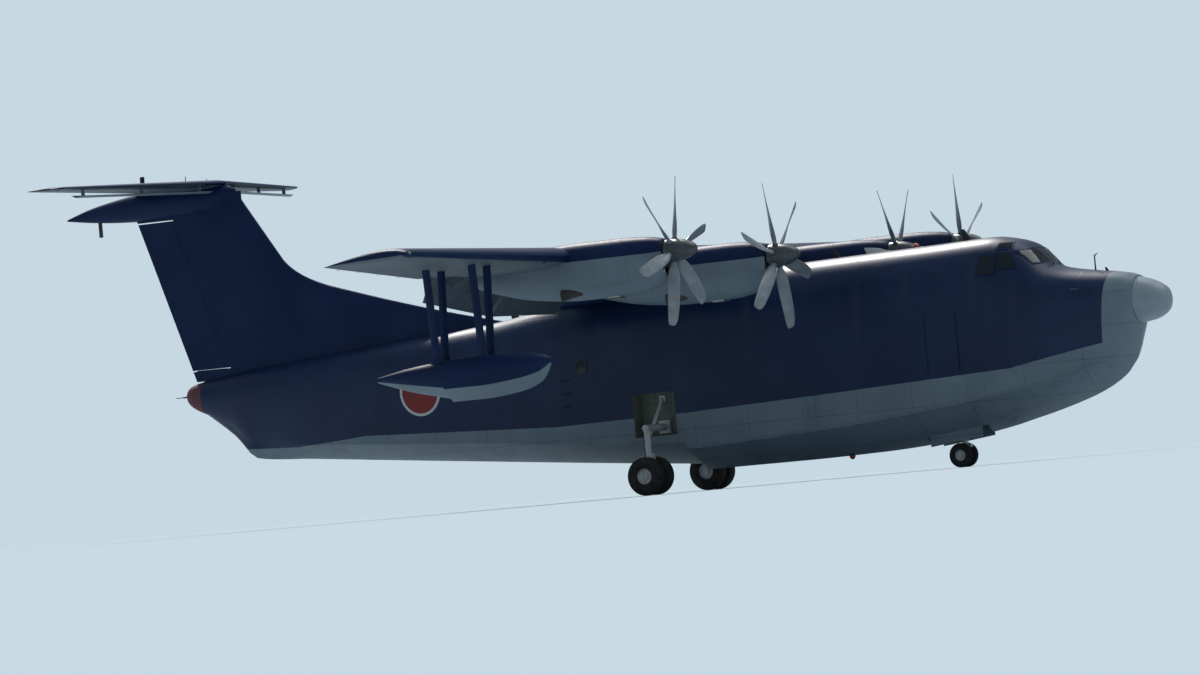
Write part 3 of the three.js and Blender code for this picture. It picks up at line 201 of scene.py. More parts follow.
# A body turned about an axis from (along, radius) points, with a colour for each step.
def turnedInto(bm, profile, centre, axis, sides=40, colours=None):
    axis = Vector(axis).normalized()
    side = axis.orthogonal().normalized()
    other = axis.cross(side)
    angles = [2 * math.pi * k / sides for k in range(sides)]
    rows = []
    for along, radius in profile:
        base = Vector(centre) + axis * along
        if radius < 1e-5:  # a point on the axis
            rows.append([bm.verts.new(base)] * sides)
            continue
        spots = [base + side * radius * math.cos(a) + other * radius * math.sin(a) for a in angles]
        rows.append([bm.verts.new(spot) for spot in spots])
    for r in range(len(rows) - 1):
        for k in range(sides):
            j = (k + 1) % sides
            corners = [rows[r][k], rows[r][j], rows[r + 1][j], rows[r + 1][k]]
            distinct = list(dict.fromkeys(corners))
            if len(distinct) > 2:
                face = bm.faces.new(distinct)
                face.material_index = colours[r] if colours else 0


# A closed slab between two grids of points, with its own colour at the back and edge.
def slabInto(bm, frontGrid, backGrid, backColour=0):
    front = [[bm.verts.new(p) for p in row] for row in frontGrid]
    back = [[bm.verts.new(p) for p in row] for row in backGrid]
    rows, columns = len(front), len(front[0])
    for r in range(rows - 1):
        for c in range(columns - 1):
            bm.faces.new((front[r][c], front[r][c + 1], front[r + 1][c + 1], front[r + 1][c]))
            face = bm.faces.new((back[r][c], back[r + 1][c], back[r + 1][c + 1], back[r][c + 1]))
            face.material_index = backColour
    edge = [(0, c) for c in range(columns)] + [(r, columns - 1) for r in range(1, rows)]
    edge += [(rows - 1, c) for c in range(columns - 2, -1, -1)]
    edge += [(r, 0) for r in range(rows - 2, 0, -1)]
    for (r, c), (s, d) in zip(edge, edge[1:] + edge[:1]):
        face = bm.faces.new((front[r][c], front[s][d], back[s][d], back[r][c]))
        face.material_index = backColour


# shares of a lamp's radius, and the foot's heights in metres
lampSettings = dict(footWide=1.2, seatWide=1.02, footLow=-0.02, footHigh=0.01,
    seatHigh=0.014, domeSteps=9, sides=28)


# A lamp: a ringed foot (colour 1) and a lens dome on it (colour 0).
def lampInto(bm, foot, axis, radius, height):
    s = lampSettings
    profile = [(s["footLow"], 0.0), (s["footLow"], radius * s["footWide"]),
        (s["footHigh"], radius * s["footWide"]), (s["seatHigh"], radius * s["seatWide"])]
    for turn in np.linspace(0, math.pi / 2, s["domeSteps"]):
        along = s["seatHigh"] + height * math.sin(turn)
        profile.append((along, radius * max(math.cos(turn), 0.0)))
    turnedInto(bm, profile, foot, axis, s["sides"], [1, 1, 1] + [0] * s["domeSteps"])


def cutterFrom(bm, material):
    mesh = bpy.data.meshes.new("cutter")
    bmesh.ops.recalc_face_normals(bm, faces=bm.faces)
    bm.to_mesh(mesh)
    bm.free()
    mesh.materials.append(material)
    cutter = bpy.data.objects.new("cutter", mesh)
    bpy.context.scene.collection.objects.link(cutter)
    return cutter


# Cuts a shape out of a piece. The cut faces take the cutter's material.
def cutAway(obj, cutter, sharpAngle=32):
    modifier = obj.modifiers.new("cut", "BOOLEAN")
    modifier.operation = "DIFFERENCE"
    modifier.solver = "EXACT"
    modifier.object = cutter
    modifier.material_mode = "TRANSFER"
    bpy.context.view_layer.update()
    evaluated = obj.evaluated_get(bpy.context.evaluated_depsgraph_get())
    result = bpy.data.meshes.new_from_object(evaluated)
    obj.modifiers.clear()
    obj.data = result
    bpy.data.objects.remove(cutter)
    result.polygons.foreach_set("use_smooth", [True] * len(result.polygons))
    result.set_sharp_from_angle(angle=math.radians(sharpAngle))


# Small steps that every material and shader group is made with.
def setOrLink(tree, value, socket):
    if isinstance(value, bpy.types.NodeSocket):
        tree.links.new(value, socket)
    else:
        socket.default_value = value


def addMath(tree, operation, first, second=None, third=None, clamp=False):
    node = tree.nodes.new("ShaderNodeMath")
    node.operation = operation
    node.use_clamp = clamp
    for i, value in enumerate((first, second, third)):
        if value is not None:
            setOrLink(tree, value, node.inputs[i])
    return node.outputs[0]


def objectPlace(tree):
    return tree.nodes.new("ShaderNodeTexCoord").outputs["Object"]


def addNoise(tree, at, scale, detail=2.0, roughness=0.5):
    noise = tree.nodes.new("ShaderNodeTexNoise")
    tree.links.new(at, noise.inputs["Vector"])
    setOrLink(tree, scale, noise.inputs["Scale"])
    noise.inputs["Detail"].default_value = detail
    noise.inputs["Roughness"].default_value = roughness
    return noise.outputs[0]


# 0 at the first limit and 1 at the second.
def addRange(tree, value, limits):
    node = tree.nodes.new("ShaderNodeMapRange")
    node.inputs["From Min"].default_value, node.inputs["From Max"].default_value = limits
    tree.links.new(value, node.inputs["Value"])
    return node.outputs[0]


def addBump(tree, shader, height, strength, depth):
    bump = tree.nodes.new("ShaderNodeBump")
    bump.inputs["Strength"].default_value = strength
    bump.inputs["Distance"].default_value = depth
    tree.links.new(height, bump.inputs["Height"])
    tree.links.new(bump.outputs[0], shader.inputs["Normal"])


def mixColours(tree, factor, first, second):
    mix = tree.nodes.new("ShaderNodeMix")
    mix.data_type = "RGBA"
    tree.links.new(factor, mix.inputs["Factor"])
    setOrLink(tree, first, mix.inputs[6])
    setOrLink(tree, second, mix.inputs[7])
    return mix.outputs[2]


def rgba(r, g, b):
    return (r, g, b, 1.0)


number, colour, vector = "NodeSocketFloat", "NodeSocketColor", "NodeSocketVector"


def groupNamed(name, inputs, outputs):
    group = bpy.data.node_groups.new(name, "ShaderNodeTree")
    for label, kind, value in inputs:
        socket = group.interface.new_socket(label, in_out="INPUT", socket_type=kind)
        socket.default_value = value
    for label, kind in outputs:
        group.interface.new_socket(label, in_out="OUTPUT", socket_type=kind)
    start = group.nodes.new("NodeGroupInput")
    end = group.nodes.new("NodeGroupOutput")
    return group, start.outputs, end.inputs


# Rivet rows beside the seams, in seam widths: a row's reach, a rivet's pitch and its size.
rivetSettings = dict(reach=4.0, ringAt=0.45, ringWide=0.22, pitch=4.5, size=0.8)


# Seams between skin panels on a grid: 1 on a seam, 0 between.
def makePanelSeams():
    s = rivetSettings
    tree, given, wanted = groupNamed(
        "panelSeams",
        [("Along Spacing", number, 1.4), ("Up Spacing", number, 0.9), ("Width", number, 0.012)],
        [("Seam", number), ("Rivets", number)],
    )
    split = tree.nodes.new("ShaderNodeSeparateXYZ")
    tree.links.new(objectPlace(tree), split.inputs[0])
    along, _, up = split.outputs

    def widths(count):
        return addMath(tree, "MULTIPLY", given["Width"], count)

    def seamAlong(value, spacing, width):
        part = addMath(tree, "FRACT", addMath(tree, "DIVIDE", value, spacing))
        centred = addMath(tree, "SUBTRACT", part, 0.5)
        edgeShare = addMath(tree, "SUBTRACT", 0.5, addMath(tree, "ABSOLUTE", centred))
        away = addMath(tree, "MULTIPLY", edgeShare, spacing)
        near = addMath(tree, "DIVIDE", away, width)
        return addMath(tree, "SUBTRACT", 1.0, near, clamp=True)

    across = seamAlong(along, given["Along Spacing"], given["Width"])
    level = seamAlong(up, given["Up Spacing"], given["Width"])
    tree.links.new(addMath(tree, "MAXIMUM", across, level), wanted["Seam"])
    band = seamAlong(along, given["Along Spacing"], widths(s["reach"]))
    ring = addMath(tree, "COMPARE", band, s["ringAt"], s["ringWide"])
    dots = seamAlong(up, widths(s["pitch"]), widths(s["size"]))
    tree.links.new(addMath(tree, "MULTIPLY", ring, dots), wanted["Rivets"])
    return tree


streakSettings = dict(fineDetail=6, fineRoughness=0.6, fineLimits=(0.5, 0.72),
    broadScale=0.7, broadDetail=3, broadLimits=(0.38, 0.68))


# Dirt that has run down or back: stretched noise, masked by broad patches.
def makeStreaks():
    s = streakSettings
    tree, given, wanted = groupNamed(
        "streaks",
        [("Fine Scale", number, 3.0), ("Run", vector, (1.0, 1.0, 0.12)), ("Amount", number, 0.5)],
        [("Mask", number)],
    )
    at = objectPlace(tree)
    stretched = tree.nodes.new("ShaderNodeVectorMath")
    stretched.operation = "MULTIPLY"
    tree.links.new(at, stretched.inputs[0])
    tree.links.new(given["Run"], stretched.inputs[1])
    fine = addNoise(tree, stretched.outputs[0], given["Fine Scale"],
        s["fineDetail"], s["fineRoughness"])
    broad = addNoise(tree, at, s["broadScale"], s["broadDetail"])
    both = addMath(tree, "MULTIPLY", addRange(tree, fine, s["fineLimits"]),
        addRange(tree, broad, s["broadLimits"]))
    tree.links.new(addMath(tree, "MULTIPLY", both, given["Amount"]), wanted["Mask"])
    return tree


fadeSettings = dict(cloudDetail=5, cloudLimits=(0.35, 0.7), grainScale=26, grainDetail=4,
    unevenness=0.22, grainHeight=0.05)


# Sun-faded paint: its drifting colour, its roughness and its fine surface.
def makeFadedPaint():
    s = fadeSettings
    tree, given, wanted = groupNamed(
        "fadedPaint",
        [("Colour", colour, (0.5, 0.5, 0.5, 1)), ("Faded Colour", colour, (0.6, 0.6, 0.6, 1)),
        ("Scale", number, 0.6), ("Base Roughness", number, 0.45)],
        [("Colour", colour), ("Roughness", number), ("Height", number)],
    )
    at = objectPlace(tree)
    cloud = addNoise(tree, at, given["Scale"], s["cloudDetail"])
    drift = addRange(tree, cloud, s["cloudLimits"])
    mixed = mixColours(tree, drift, given["Colour"], given["Faded Colour"])
    tree.links.new(mixed, wanted["Colour"])
    grain = addNoise(tree, at, s["grainScale"], s["grainDetail"])
    uneven = addMath(tree, "MULTIPLY_ADD", grain, s["unevenness"], -s["unevenness"] / 2)
    rough = addMath(tree, "ADD", given["Base Roughness"], uneven, clamp=True)
    tree.links.new(rough, wanted["Roughness"])
    tree.links.new(addMath(tree, "MULTIPLY", grain, s["grainHeight"]), wanted["Height"])
    return tree


panelSeams, streaks, fadedPaint = makePanelSeams(), makeStreaks(), makeFadedPaint()


def newMaterial(name):
    material = bpy.data.materials.new(name)
    material.use_nodes = True
    tree = material.node_tree
    return material, tree, tree.nodes["Principled BSDF"]


def useGroup(tree, group, **values):
    node = tree.nodes.new("ShaderNodeGroup")
    node.node_tree = group
    for label, value in values.items():
        node.inputs[label.replace("_", " ")].default_value = value
    return node.outputs


# What a skin has unless its settings say otherwise. A panelled one adds along and up.
skinDefaults = dict(
    metallic=0.0, specular=0.45, coat=0.0, coatRoughness=0.25, fadeScale=0.6,
    streakScale=3.0, run=(1.0, 1.0, 0.12), dirt=0.35, dirtColour=rgba(0.16, 0.17, 0.17),
    dirtRoughness=0.3, seam=0.012, seamDark=0.4, seamColour=rgba(0.012, 0.014, 0.018),
    rivetHeight=0.35, bump=0.35, bumpDepth=0.004,
)


# Painted skin. pattern may add shapes between the faded paint and the dirt.
def paintedSkin(name, settings, pattern=None):
    s = {**skinDefaults, **settings}
    material, tree, shader = newMaterial(name)
    shader.inputs["Metallic"].default_value = s["metallic"]
    shader.inputs["Specular IOR Level"].default_value = s["specular"]
    shader.inputs["Coat Weight"].default_value = s["coat"]
    shader.inputs["Coat Roughness"].default_value = s["coatRoughness"]
    paint = useGroup(tree, fadedPaint, Colour=s["colour"], Faded_Colour=s["faded"],
        Scale=s["fadeScale"], Base_Roughness=s["roughness"])
    shade, height = paint["Colour"], paint["Height"]
    if pattern:
        shade = pattern(tree, shade)
    dirt = useGroup(tree, streaks, Fine_Scale=s["streakScale"], Run=s["run"], Amount=s["dirt"])
    shade = mixColours(tree, dirt["Mask"], shade, s["dirtColour"])
    if "along" in s:
        seams = useGroup(tree, panelSeams, Along_Spacing=s["along"], Up_Spacing=s["up"],
            Width=s["seam"])
        seamShare = addMath(tree, "MULTIPLY", seams["Seam"], s["seamDark"])
        shade = mixColours(tree, seamShare, shade, s["seamColour"])
        height = addMath(tree, "SUBTRACT", height, seams["Seam"])
        height = addMath(tree, "MULTIPLY_ADD", seams["Rivets"], s["rivetHeight"], height)
    tree.links.new(shade, shader.inputs["Base Color"])
    rough = addMath(tree, "MULTIPLY_ADD", dirt["Mask"], s["dirtRoughness"],
        paint["Roughness"], clamp=True)
    tree.links.new(rough, shader.inputs["Roughness"])
    addBump(tree, shader, height, s["bump"], s["bumpDepth"])
    return material


navySettings = dict(colour=rgba(0.0025, 0.0135, 0.054), faded=rgba(0.006, 0.02, 0.07),
    roughness=0.4, specular=0.22, dirt=0.22, dirtColour=rgba(0.03, 0.042, 0.065), seamDark=0.5)
greySettings = dict(colour=rgba(0.12, 0.165, 0.2), faded=rgba(0.15, 0.2, 0.235),
    roughness=0.5, specular=0.35, dirt=0.45, dirtColour=rgba(0.07, 0.08, 0.08), seamDark=0.28)
undersideSettings = dict(greySettings, along=0.95, up=5.0, run=(0.12, 1.0, 1.0))
paintLine = dict(
    # where navy meets grey: metres aft and up
    heights=[(0.0, 2.6), (1.48, 2.35), (4.23, 1.88), (9.0, 1.69), (13.5, 1.54), (17.65, 1.48),
        (23.7, 1.74), (26.1, 1.61), (29.2, 1.75)], alongRange=30.0, upRange=3.0,
    wobble=0.02, wobbleScale=9, noseAft=1.97, noseSlope=0.12, greyScale=0.8,
)
roundelSettings = dict(aft=21.8, up=2.78, disc=0.57, ring=0.64,
    ringColour=rgba(0.5, 0.52, 0.52), discColour=rgba(0.2, 0.022, 0.022))


# The paint line's height at a distance aft, as a curve of straight pieces.
def paintLineHeight(tree, aft):
    along, up = paintLine["alongRange"], paintLine["upRange"]
    curve = tree.nodes.new("ShaderNodeFloatCurve")
    points = curve.mapping.curves[0].points
    wanted = [(a / along, z / up) for a, z in paintLine["heights"]]
    points[0].location, points[-1].location = wanted[0], wanted[-1]
    for x, y in wanted[1:-1]:
        points.new(x, y)
    for point in points:
        point.handle_type = "VECTOR"
    curve.mapping.update()
    tree.links.new(addMath(tree, "DIVIDE", aft, along), curve.inputs["Value"])
    return addMath(tree, "MULTIPLY", curve.outputs[0], up)


# Navy above the line and behind the nose line, grey elsewhere, and a ringed disc.
def hullPattern(tree, shade):
    at = objectPlace(tree)
    split = tree.nodes.new("ShaderNodeSeparateXYZ")
    tree.links.new(at, split.inputs[0])
    aft = addMath(tree, "SUBTRACT", halfLength, split.outputs[0])
    up = addMath(tree, "SUBTRACT", split.outputs[2], keelHeight)
    wobble = addNoise(tree, at, paintLine["wobbleScale"])
    line = addMath(tree, "MULTIPLY_ADD", wobble, paintLine["wobble"], paintLineHeight(tree, aft))
    above = addMath(tree, "GREATER_THAN", up, line)
    noseLine = addMath(tree, "MULTIPLY_ADD", up, -paintLine["noseSlope"], paintLine["noseAft"])
    behind = addMath(tree, "GREATER_THAN", aft, noseLine)
    navyHere = addMath(tree, "MULTIPLY", above, behind)
    grey = useGroup(tree, fadedPaint, Colour=greySettings["colour"],
        Faded_Colour=greySettings["faded"], Scale=paintLine["greyScale"])
    shade = mixColours(tree, navyHere, grey["Colour"], shade)
    squares = []
    for value, centre in ((aft, roundelSettings["aft"]), (up, roundelSettings["up"])):
        offset = addMath(tree, "SUBTRACT", value, centre)
        squares.append(addMath(tree, "MULTIPLY", offset, offset))
    away = addMath(tree, "SQRT", addMath(tree, "ADD", *squares))
    for part in ("ring", "disc"):
        inside = addMath(tree, "LESS_THAN", away, roundelSettings[part])
        shade = mixColours(tree, inside, shade, roundelSettings[part + "Colour"])
    return shade


hullPaint = paintedSkin("hullPaint", dict(
        navySettings, specular=0.27, along=1.6, up=0.83, dirt=0.4), hullPattern)
navyPaint = paintedSkin("navyPaint", dict(
        navySettings, specular=0.13, roughness=0.46, along=1.1, up=1.3))
greyPaint = paintedSkin("greyPaint", undersideSettings)
# Darker copies of the underside grey, as painted shade: the deeper one for the tailplane,
# elevators, outer flaps and flap arms, the other for the wing, ailerons and inner flaps.
deepShadeUndersidePaint = paintedSkin("deepShadeUndersidePaint", dict(
    undersideSettings, colour=rgba(0.062, 0.08, 0.105), faded=rgba(0.08, 0.1, 0.125), along=0.9))
wingUndersideShadePaint = paintedSkin("wingUndersideShadePaint", dict(
        undersideSettings, colour=rgba(0.08, 0.102, 0.12), faded=rgba(0.1, 0.127, 0.147)))
radomePaint = paintedSkin("radomePaint", dict(
        colour=rgba(0.19, 0.245, 0.28), faded=rgba(0.23, 0.285, 0.32), roughness=0.42,
        specular=0.5, dirt=0.4, dirtColour=rgba(0.08, 0.09, 0.09), fadeScale=1.4))
tailRedPaint = paintedSkin("tailRedPaint", dict(
        colour=rgba(0.1, 0.035, 0.04), faded=rgba(0.14, 0.055, 0.058), roughness=0.6,
        specular=0.25, dirt=0.6, dirtColour=rgba(0.05, 0.04, 0.045), fadeScale=2.0))
bladePaint = paintedSkin("bladePaint", dict(
        colour=rgba(0.16, 0.19, 0.21), faded=rgba(0.24, 0.27, 0.29), roughness=0.38,
        dirt=0.5, dirtColour=rgba(0.07, 0.075, 0.08), fadeScale=3.0, coat=0.2))
spinnerPaint = paintedSkin("spinnerPaint", dict(
        colour=rgba(0.035, 0.042, 0.05), faded=rgba(0.06, 0.068, 0.075), roughness=0.36,
        dirt=0.5, dirtColour=rgba(0.015, 0.015, 0.015), fadeScale=4.0, coat=0.2))
gearPaint = paintedSkin("gearPaint", dict(
        colour=rgba(0.42, 0.44, 0.45), faded=rgba(0.52, 0.53, 0.53), roughness=0.34,
        dirt=0.8, dirtColour=rgba(0.07, 0.06, 0.05), fadeScale=4.0, streakScale=9.0, coat=0.3))
# Bay primer darkened as painted shade, for the bays' and doorway's cut walls and the door's inner
# face, edges and bars.
bayPaint = paintedSkin("bayPaint", dict(
        colour=rgba(0.13, 0.145, 0.12), faded=rgba(0.18, 0.19, 0.155), roughness=0.6,
        along=0.45, up=0.4, seam=0.02, bump=0.8, dirt=0.8, dirtColour=rgba(0.04, 0.04, 0.035)))
bareMetal = paintedSkin("bareMetal", dict(
        colour=rgba(0.42, 0.42, 0.41), faded=rgba(0.55, 0.54, 0.52), roughness=0.36,
        metallic=1.0, dirt=0.5, dirtColour=rgba(0.12, 0.1, 0.08), fadeScale=5.0))
exhaustMetal = paintedSkin("exhaustMetal", dict(
        colour=rgba(0.035, 0.034, 0.035), faded=rgba(0.06, 0.056, 0.054), roughness=0.62,
        metallic=0.25, dirt=0.9, dirtColour=rgba(0.02, 0.018, 0.016), fadeScale=8.0))
# Near black: real dark trim on small parts, and painted shade in coves, intake walls and the open
# ends beside hinged surfaces.
darkTrim = paintedSkin("darkTrim", dict(
        colour=rgba(0.012, 0.013, 0.015), faded=rgba(0.03, 0.032, 0.034), roughness=0.6,
        dirt=0.3, fadeScale=5.0))

rubberSettings = dict(
    colour=rgba(0.016, 0.016, 0.017), faded=rgba(0.034, 0.033, 0.032), fadeScale=7.0,
    roughness=0.82, specular=0.3, dust=0.5, dustScale=12.0,
    dustColour=rgba(0.1, 0.092, 0.08), bump=0.5, bumpDepth=0.006,
)


# Tyre rubber: dark, matt and dusty in patches.
def makeRubber():
    s = rubberSettings
    material, tree, shader = newMaterial("tyreRubber")
    shader.inputs["Specular IOR Level"].default_value = s["specular"]
    paint = useGroup(tree, fadedPaint, Colour=s["colour"], Faded_Colour=s["faded"],
        Scale=s["fadeScale"], Base_Roughness=s["roughness"])
    dust = useGroup(tree, streaks, Fine_Scale=s["dustScale"], Run=(1.0, 1.0, 1.0),
        Amount=s["dust"])
    shade = mixColours(tree, dust["Mask"], paint["Colour"], s["dustColour"])
    tree.links.new(shade, shader.inputs["Base Color"])
    tree.links.new(paint["Roughness"], shader.inputs["Roughness"])
    addBump(tree, shader, paint["Height"], s["bump"], s["bumpDepth"])
    return material


glassSettings = dict(colour=rgba(0.003, 0.007, 0.016), smeared=rgba(0.008, 0.013, 0.022),
    specular=0.34, smears=0.5, smearScale=5.0, smearRun=(1.0, 1.0, 0.4),
    roughness=0.06, smearRoughness=0.2)


# Dark glazing with faint smears.
def makeGlass():
    s = glassSettings
    material, tree, shader = newMaterial("cockpitGlass")
    shader.inputs["Metallic"].default_value = 0.0
    shader.inputs["Specular IOR Level"].default_value = s["specular"]
    smear = useGroup(tree, streaks, Fine_Scale=s["smearScale"], Run=s["smearRun"],
        Amount=s["smears"])["Mask"]
    shade = mixColours(tree, smear, s["colour"], s["smeared"])
    tree.links.new(shade, shader.inputs["Base Color"])
    rough = addMath(tree, "MULTIPLY_ADD", smear, s["smearRoughness"], s["roughness"])
    tree.links.new(rough, shader.inputs["Roughness"])
    return material


lensSettings = dict(coat=0.7, fadeScale=18.0, roughness=0.2, ribs=40, bump=0.3, bumpDepth=0.003)


# A coloured lamp lens with fine ribs.
def makeLens(name, shade, fadedShade):
    s = lensSettings
    material, tree, shader = newMaterial(name)
    shader.inputs["Coat Weight"].default_value = s["coat"]
    paint = useGroup(tree, fadedPaint, Colour=shade, Faded_Colour=fadedShade,
        Scale=s["fadeScale"], Base_Roughness=s["roughness"])
    tree.links.new(paint["Colour"], shader.inputs["Base Color"])
    tree.links.new(paint["Roughness"], shader.inputs["Roughness"])
    ribs = tree.nodes.new("ShaderNodeTexWave")
    ribs.inputs["Scale"].default_value = s["ribs"]
    addBump(tree, shader, ribs.outputs["Fac"], s["bump"], s["bumpDepth"])
    return material


tyreRubber, cockpitGlass = makeRubber(), makeGlass()
redLens = makeLens("redLens", rgba(0.45, 0.02, 0.015), rgba(0.6, 0.05, 0.03))
greenLens = makeLens("greenLens", rgba(0.02, 0.3, 0.08), rgba(0.04, 0.42, 0.12))
clearLens = makeLens("clearLens", rgba(0.6, 0.62, 0.62), rgba(0.78, 0.79, 0.78))
print("materials made:", len(bpy.data.materials))

hullTable = [
    # aft, keel, chine half width, chine height, side half width, side height, top
    (0.85, 2.72, 0.30, 2.86, 0.60, 3.36, 3.985), (0.93, 2.28, 0.29, 2.56, 0.66, 3.36, 4.02),
    (1.06, 1.90, 0.33, 2.22, 0.74, 3.36, 4.065), (1.44, 1.46, 0.52, 1.95, 0.88, 3.36, 4.14),
    (2.12, 1.09, 0.80, 1.72, 1.03, 3.40, 4.24), (3.10, 0.78, 1.02, 1.50, 1.16, 3.50, 4.47),
    (3.45, 0.69, 1.06, 1.45, 1.185, 3.60, 4.83), (3.68, 0.635, 1.09, 1.41, 1.20, 3.68, 5.07),
    (4.00, 0.565, 1.125, 1.36, 1.22, 3.75, 5.21), (4.81, 0.39, 1.19, 1.25, 1.25, 3.95, 5.355),
    (6.50, 0.16, 1.25, 1.05, 1.255, 4.05, 5.31), (8.50, 0.04, 1.25, 0.87, 1.255, 4.00, 5.265),
    (11.0, 0.0, 1.25, 0.73, 1.255, 3.95, 5.20), (13.72, 0.0, 1.25, 0.62, 1.255, 3.90, 5.04),
    (13.78, 0.15, 1.225, 0.74, 1.252, 3.90, 5.037), (17.0, 0.43, 1.20, 0.98, 1.22, 3.75, 4.85),
    (20.0, 0.71, 1.10, 1.25, 1.15, 3.50, 4.45), (23.5, 1.04, 0.85, 1.50, 1.00, 3.30, 4.20),
    (26.0, 1.28, 0.55, 1.68, 0.80, 3.25, 4.02), (27.74, 1.44, 0.12, 1.76, 0.62, 3.25, 3.88),
    (28.37, 2.10, 0.15, 2.33, 0.52, 3.22, 3.80), (29.18, 2.74, 0.23, 2.86, 0.40, 3.24, 3.70),
]
stepRow = 14  # the first row behind the step in the planing bottom
aheadOfStep, behindStep = hullTable[:stepRow], hullTable[stepRow:]
hullFront, hullRear = columnsOf(aheadOfStep), columnsOf(behindStep)
hullSettings = dict(bottomSteps=6, sideSteps=9, topSteps=14, stationEvery=0.24,
    bottomPower=1.16, topPower=2.35, sharpAngle=24)


def hullShape(aft):
    columns = hullFront if aft <= aheadOfStep[-1][0] + 1e-6 else hullRear
    return [column(aft) for column in columns]


# The port half of a section as (y, up) pairs: keel to chine, up the side, and over the top.
def sectionHalf(shape, settings):
    keel, chineHalf, chine, sideHalf, side, top = shape
    points = []
    for i in range(settings["bottomSteps"]):
        t = i / settings["bottomSteps"]
        points.append((chineHalf * t, keel + (chine - keel) * t ** settings["bottomPower"]))
    for i in range(settings["sideSteps"]):
        t = i / settings["sideSteps"]
        y = chineHalf + (sideHalf - chineHalf) * (1 - (1 - t) ** 2)
        points.append((y, chine + (side - chine) * t))
    power = 2 / settings["topPower"]
    for i in range(settings["topSteps"] + 1):
        turn = i / settings["topSteps"] * math.pi / 2
        rise = (top - side) * math.sin(turn) ** power
        points.append((sideHalf * max(math.cos(turn), 0.0) ** power, side + rise))
    return points


def hullRing(aft, shape, settings, yOffset=0.0, aftOffset=0.0):
    half = sectionHalf(shape, settings)
    points = half + [(-y, up) for y, up in half[-2:0:-1]]
    return [place(aft + aftOffset, y + yOffset, up) for y, up in points]


# Half width of the hull's skin at a height, from the chine up.
def hullHalfAt(aft, up):
    _, chineHalf, chine, sideHalf, side, top = hullShape(aft)
    if up <= side:
        t = min(max((up - chine) / (side - chine), 0), 1)
        return chineHalf + (sideHalf - chineHalf) * (1 - (1 - t) ** 2)
    share = min((up - side) / (top - side), 1.0)
    return sideHalf * (1 - share ** hullSettings["topPower"]) ** (1 / hullSettings["topPower"])


# A table's own stations and even ones between them.
def stationsOf(table, every):
    start, end = table[0][0], table[-1][0]
    even = np.linspace(start, end, max(2, int((end - start) / every))).tolist()
    return sorted({*(row[0] for row in table), *even})


baySizes = dict(
    main=dict(front=13.98, rear=15.25, low=1.0, high=2.15, inner=0.7),
    nose=dict(front=5.35, rear=7.15, half=0.33, roof=1.15, below=-0.1),
    door=dict(front=18.4, width=0.85, sill=1.75, height=1.65, inner=0.49), outside=2.0,
)


# The skin, with the wheel bays and the port doorway cut open.
def buildHull():
    rings = []
    for rows in (aheadOfStep, behindStep):
        for aft in stationsOf(rows, hullSettings["stationEvery"]):
            rings.append(hullRing(aft, hullShape(aft), hullSettings))
    mesh = ringsMesh("hullShell", rings, hullSettings["sharpAngle"])
    hull = addObject("hullShell", mesh, [hullPaint], "airframe", ["hull"])
    main, nose, door = baySizes["main"], baySizes["nose"], baySizes["door"]
    outside = baySizes["outside"]
    bm = bmesh.new()
    for side in (1, -1):
        boxInto(bm, place(main["rear"], side * main["inner"], main["low"]),
            place(main["front"], side * outside, main["high"]))
    boxInto(bm, place(nose["rear"], -nose["half"], nose["below"]),
        place(nose["front"], nose["half"], nose["roof"]))
    boxInto(bm, place(door["front"] + door["width"], door["inner"], door["sill"]),
        place(door["front"], outside, door["sill"] + door["height"]))
    # the cut walls take the bay primer, darkened as painted shade
    cutAway(hull, cutterFrom(bm, bayPaint))


buildHull()

sprayRailSettings = dict(start=1.5, end=13.7, stations=60, out=0.05, down=0.045,
    edge=0.015, root=0.03, tuck=0.02, fadeIn=1.2, fadeOut=0.4, least=0.15)


# Thin rails that throw spray down from the chines ahead of the step.
def buildSprayRails():
    s = sprayRailSettings
    rings = []
    for aft in np.linspace(s["start"], s["end"], s["stations"]):
        chineHalf, chine = hullShape(aft)[1:3]
        fade = min(1.0, (aft - s["start"]) / s["fadeIn"],
            (s["end"] - aft) / s["fadeOut"] + s["least"])
        out, down = s["out"] * fade, s["down"] * fade
        outline = [(-s["root"], s["root"]), (0.0, s["root"]), (out, s["edge"] - down),
            (out, -down), (-s["tuck"], -s["root"])]
        rings.append([place(aft, chineHalf + y, chine + up) for y, up in outline])
    addBothSides("sprayRail", ringsMesh("sprayRail", rings), [greyPaint])


buildSprayRails()
print("hull made")


def ovalRing(aft, half, top, bottom, y=0.0, points=40, power=2.0):
    ring = []
    for i in range(points):
        turn = 2 * math.pi * i / points
        c, s = math.cos(turn), math.sin(turn)
        across = math.copysign(abs(c) ** (2 / power), c) * half
        rise = math.copysign(abs(s) ** (2 / power), s) * (top - bottom) / 2
        ring.append(place(aft, y + across, (top + bottom) / 2 + rise))
    return ring


# Rings of a body from (aft, half width, top, bottom) rows, bunched towards its front.
def ovalBody(table, power=2.0, sections=18, bunching=1.0):
    columns = columnsOf(table)
    first, last = table[0][0], table[-1][0]
    shares = [(k / (sections - 1)) ** bunching for k in range(sections)]
    stations = [first + (last - first) * share for share in shares]
    return [ovalRing(aft, *[column(aft) for column in columns], power=power) for aft in stations]


endSettings = dict(
    radome=[(0.0, 0.045, 3.35, 3.25), (0.06, 0.21, 3.56, 3.06), (0.2, 0.37, 3.69, 2.92),
        (0.45, 0.5, 3.83, 2.81), (0.848, 0.59, 3.96, 2.745)],
    tailCone=[(29.182, 0.39, 3.69, 2.76), (29.48, 0.35, 3.64, 2.9), (29.7, 0.24, 3.54, 3.06),
        (29.82, 0.06, 3.37, 3.25)],
    # the probe's rods: aft from and to, and the radius at each end
    probeUp=3.31, probe=[(29.78, 29.98, 0.03, 0.018), (29.98, 30.2, 0.011, 0.011)],
)


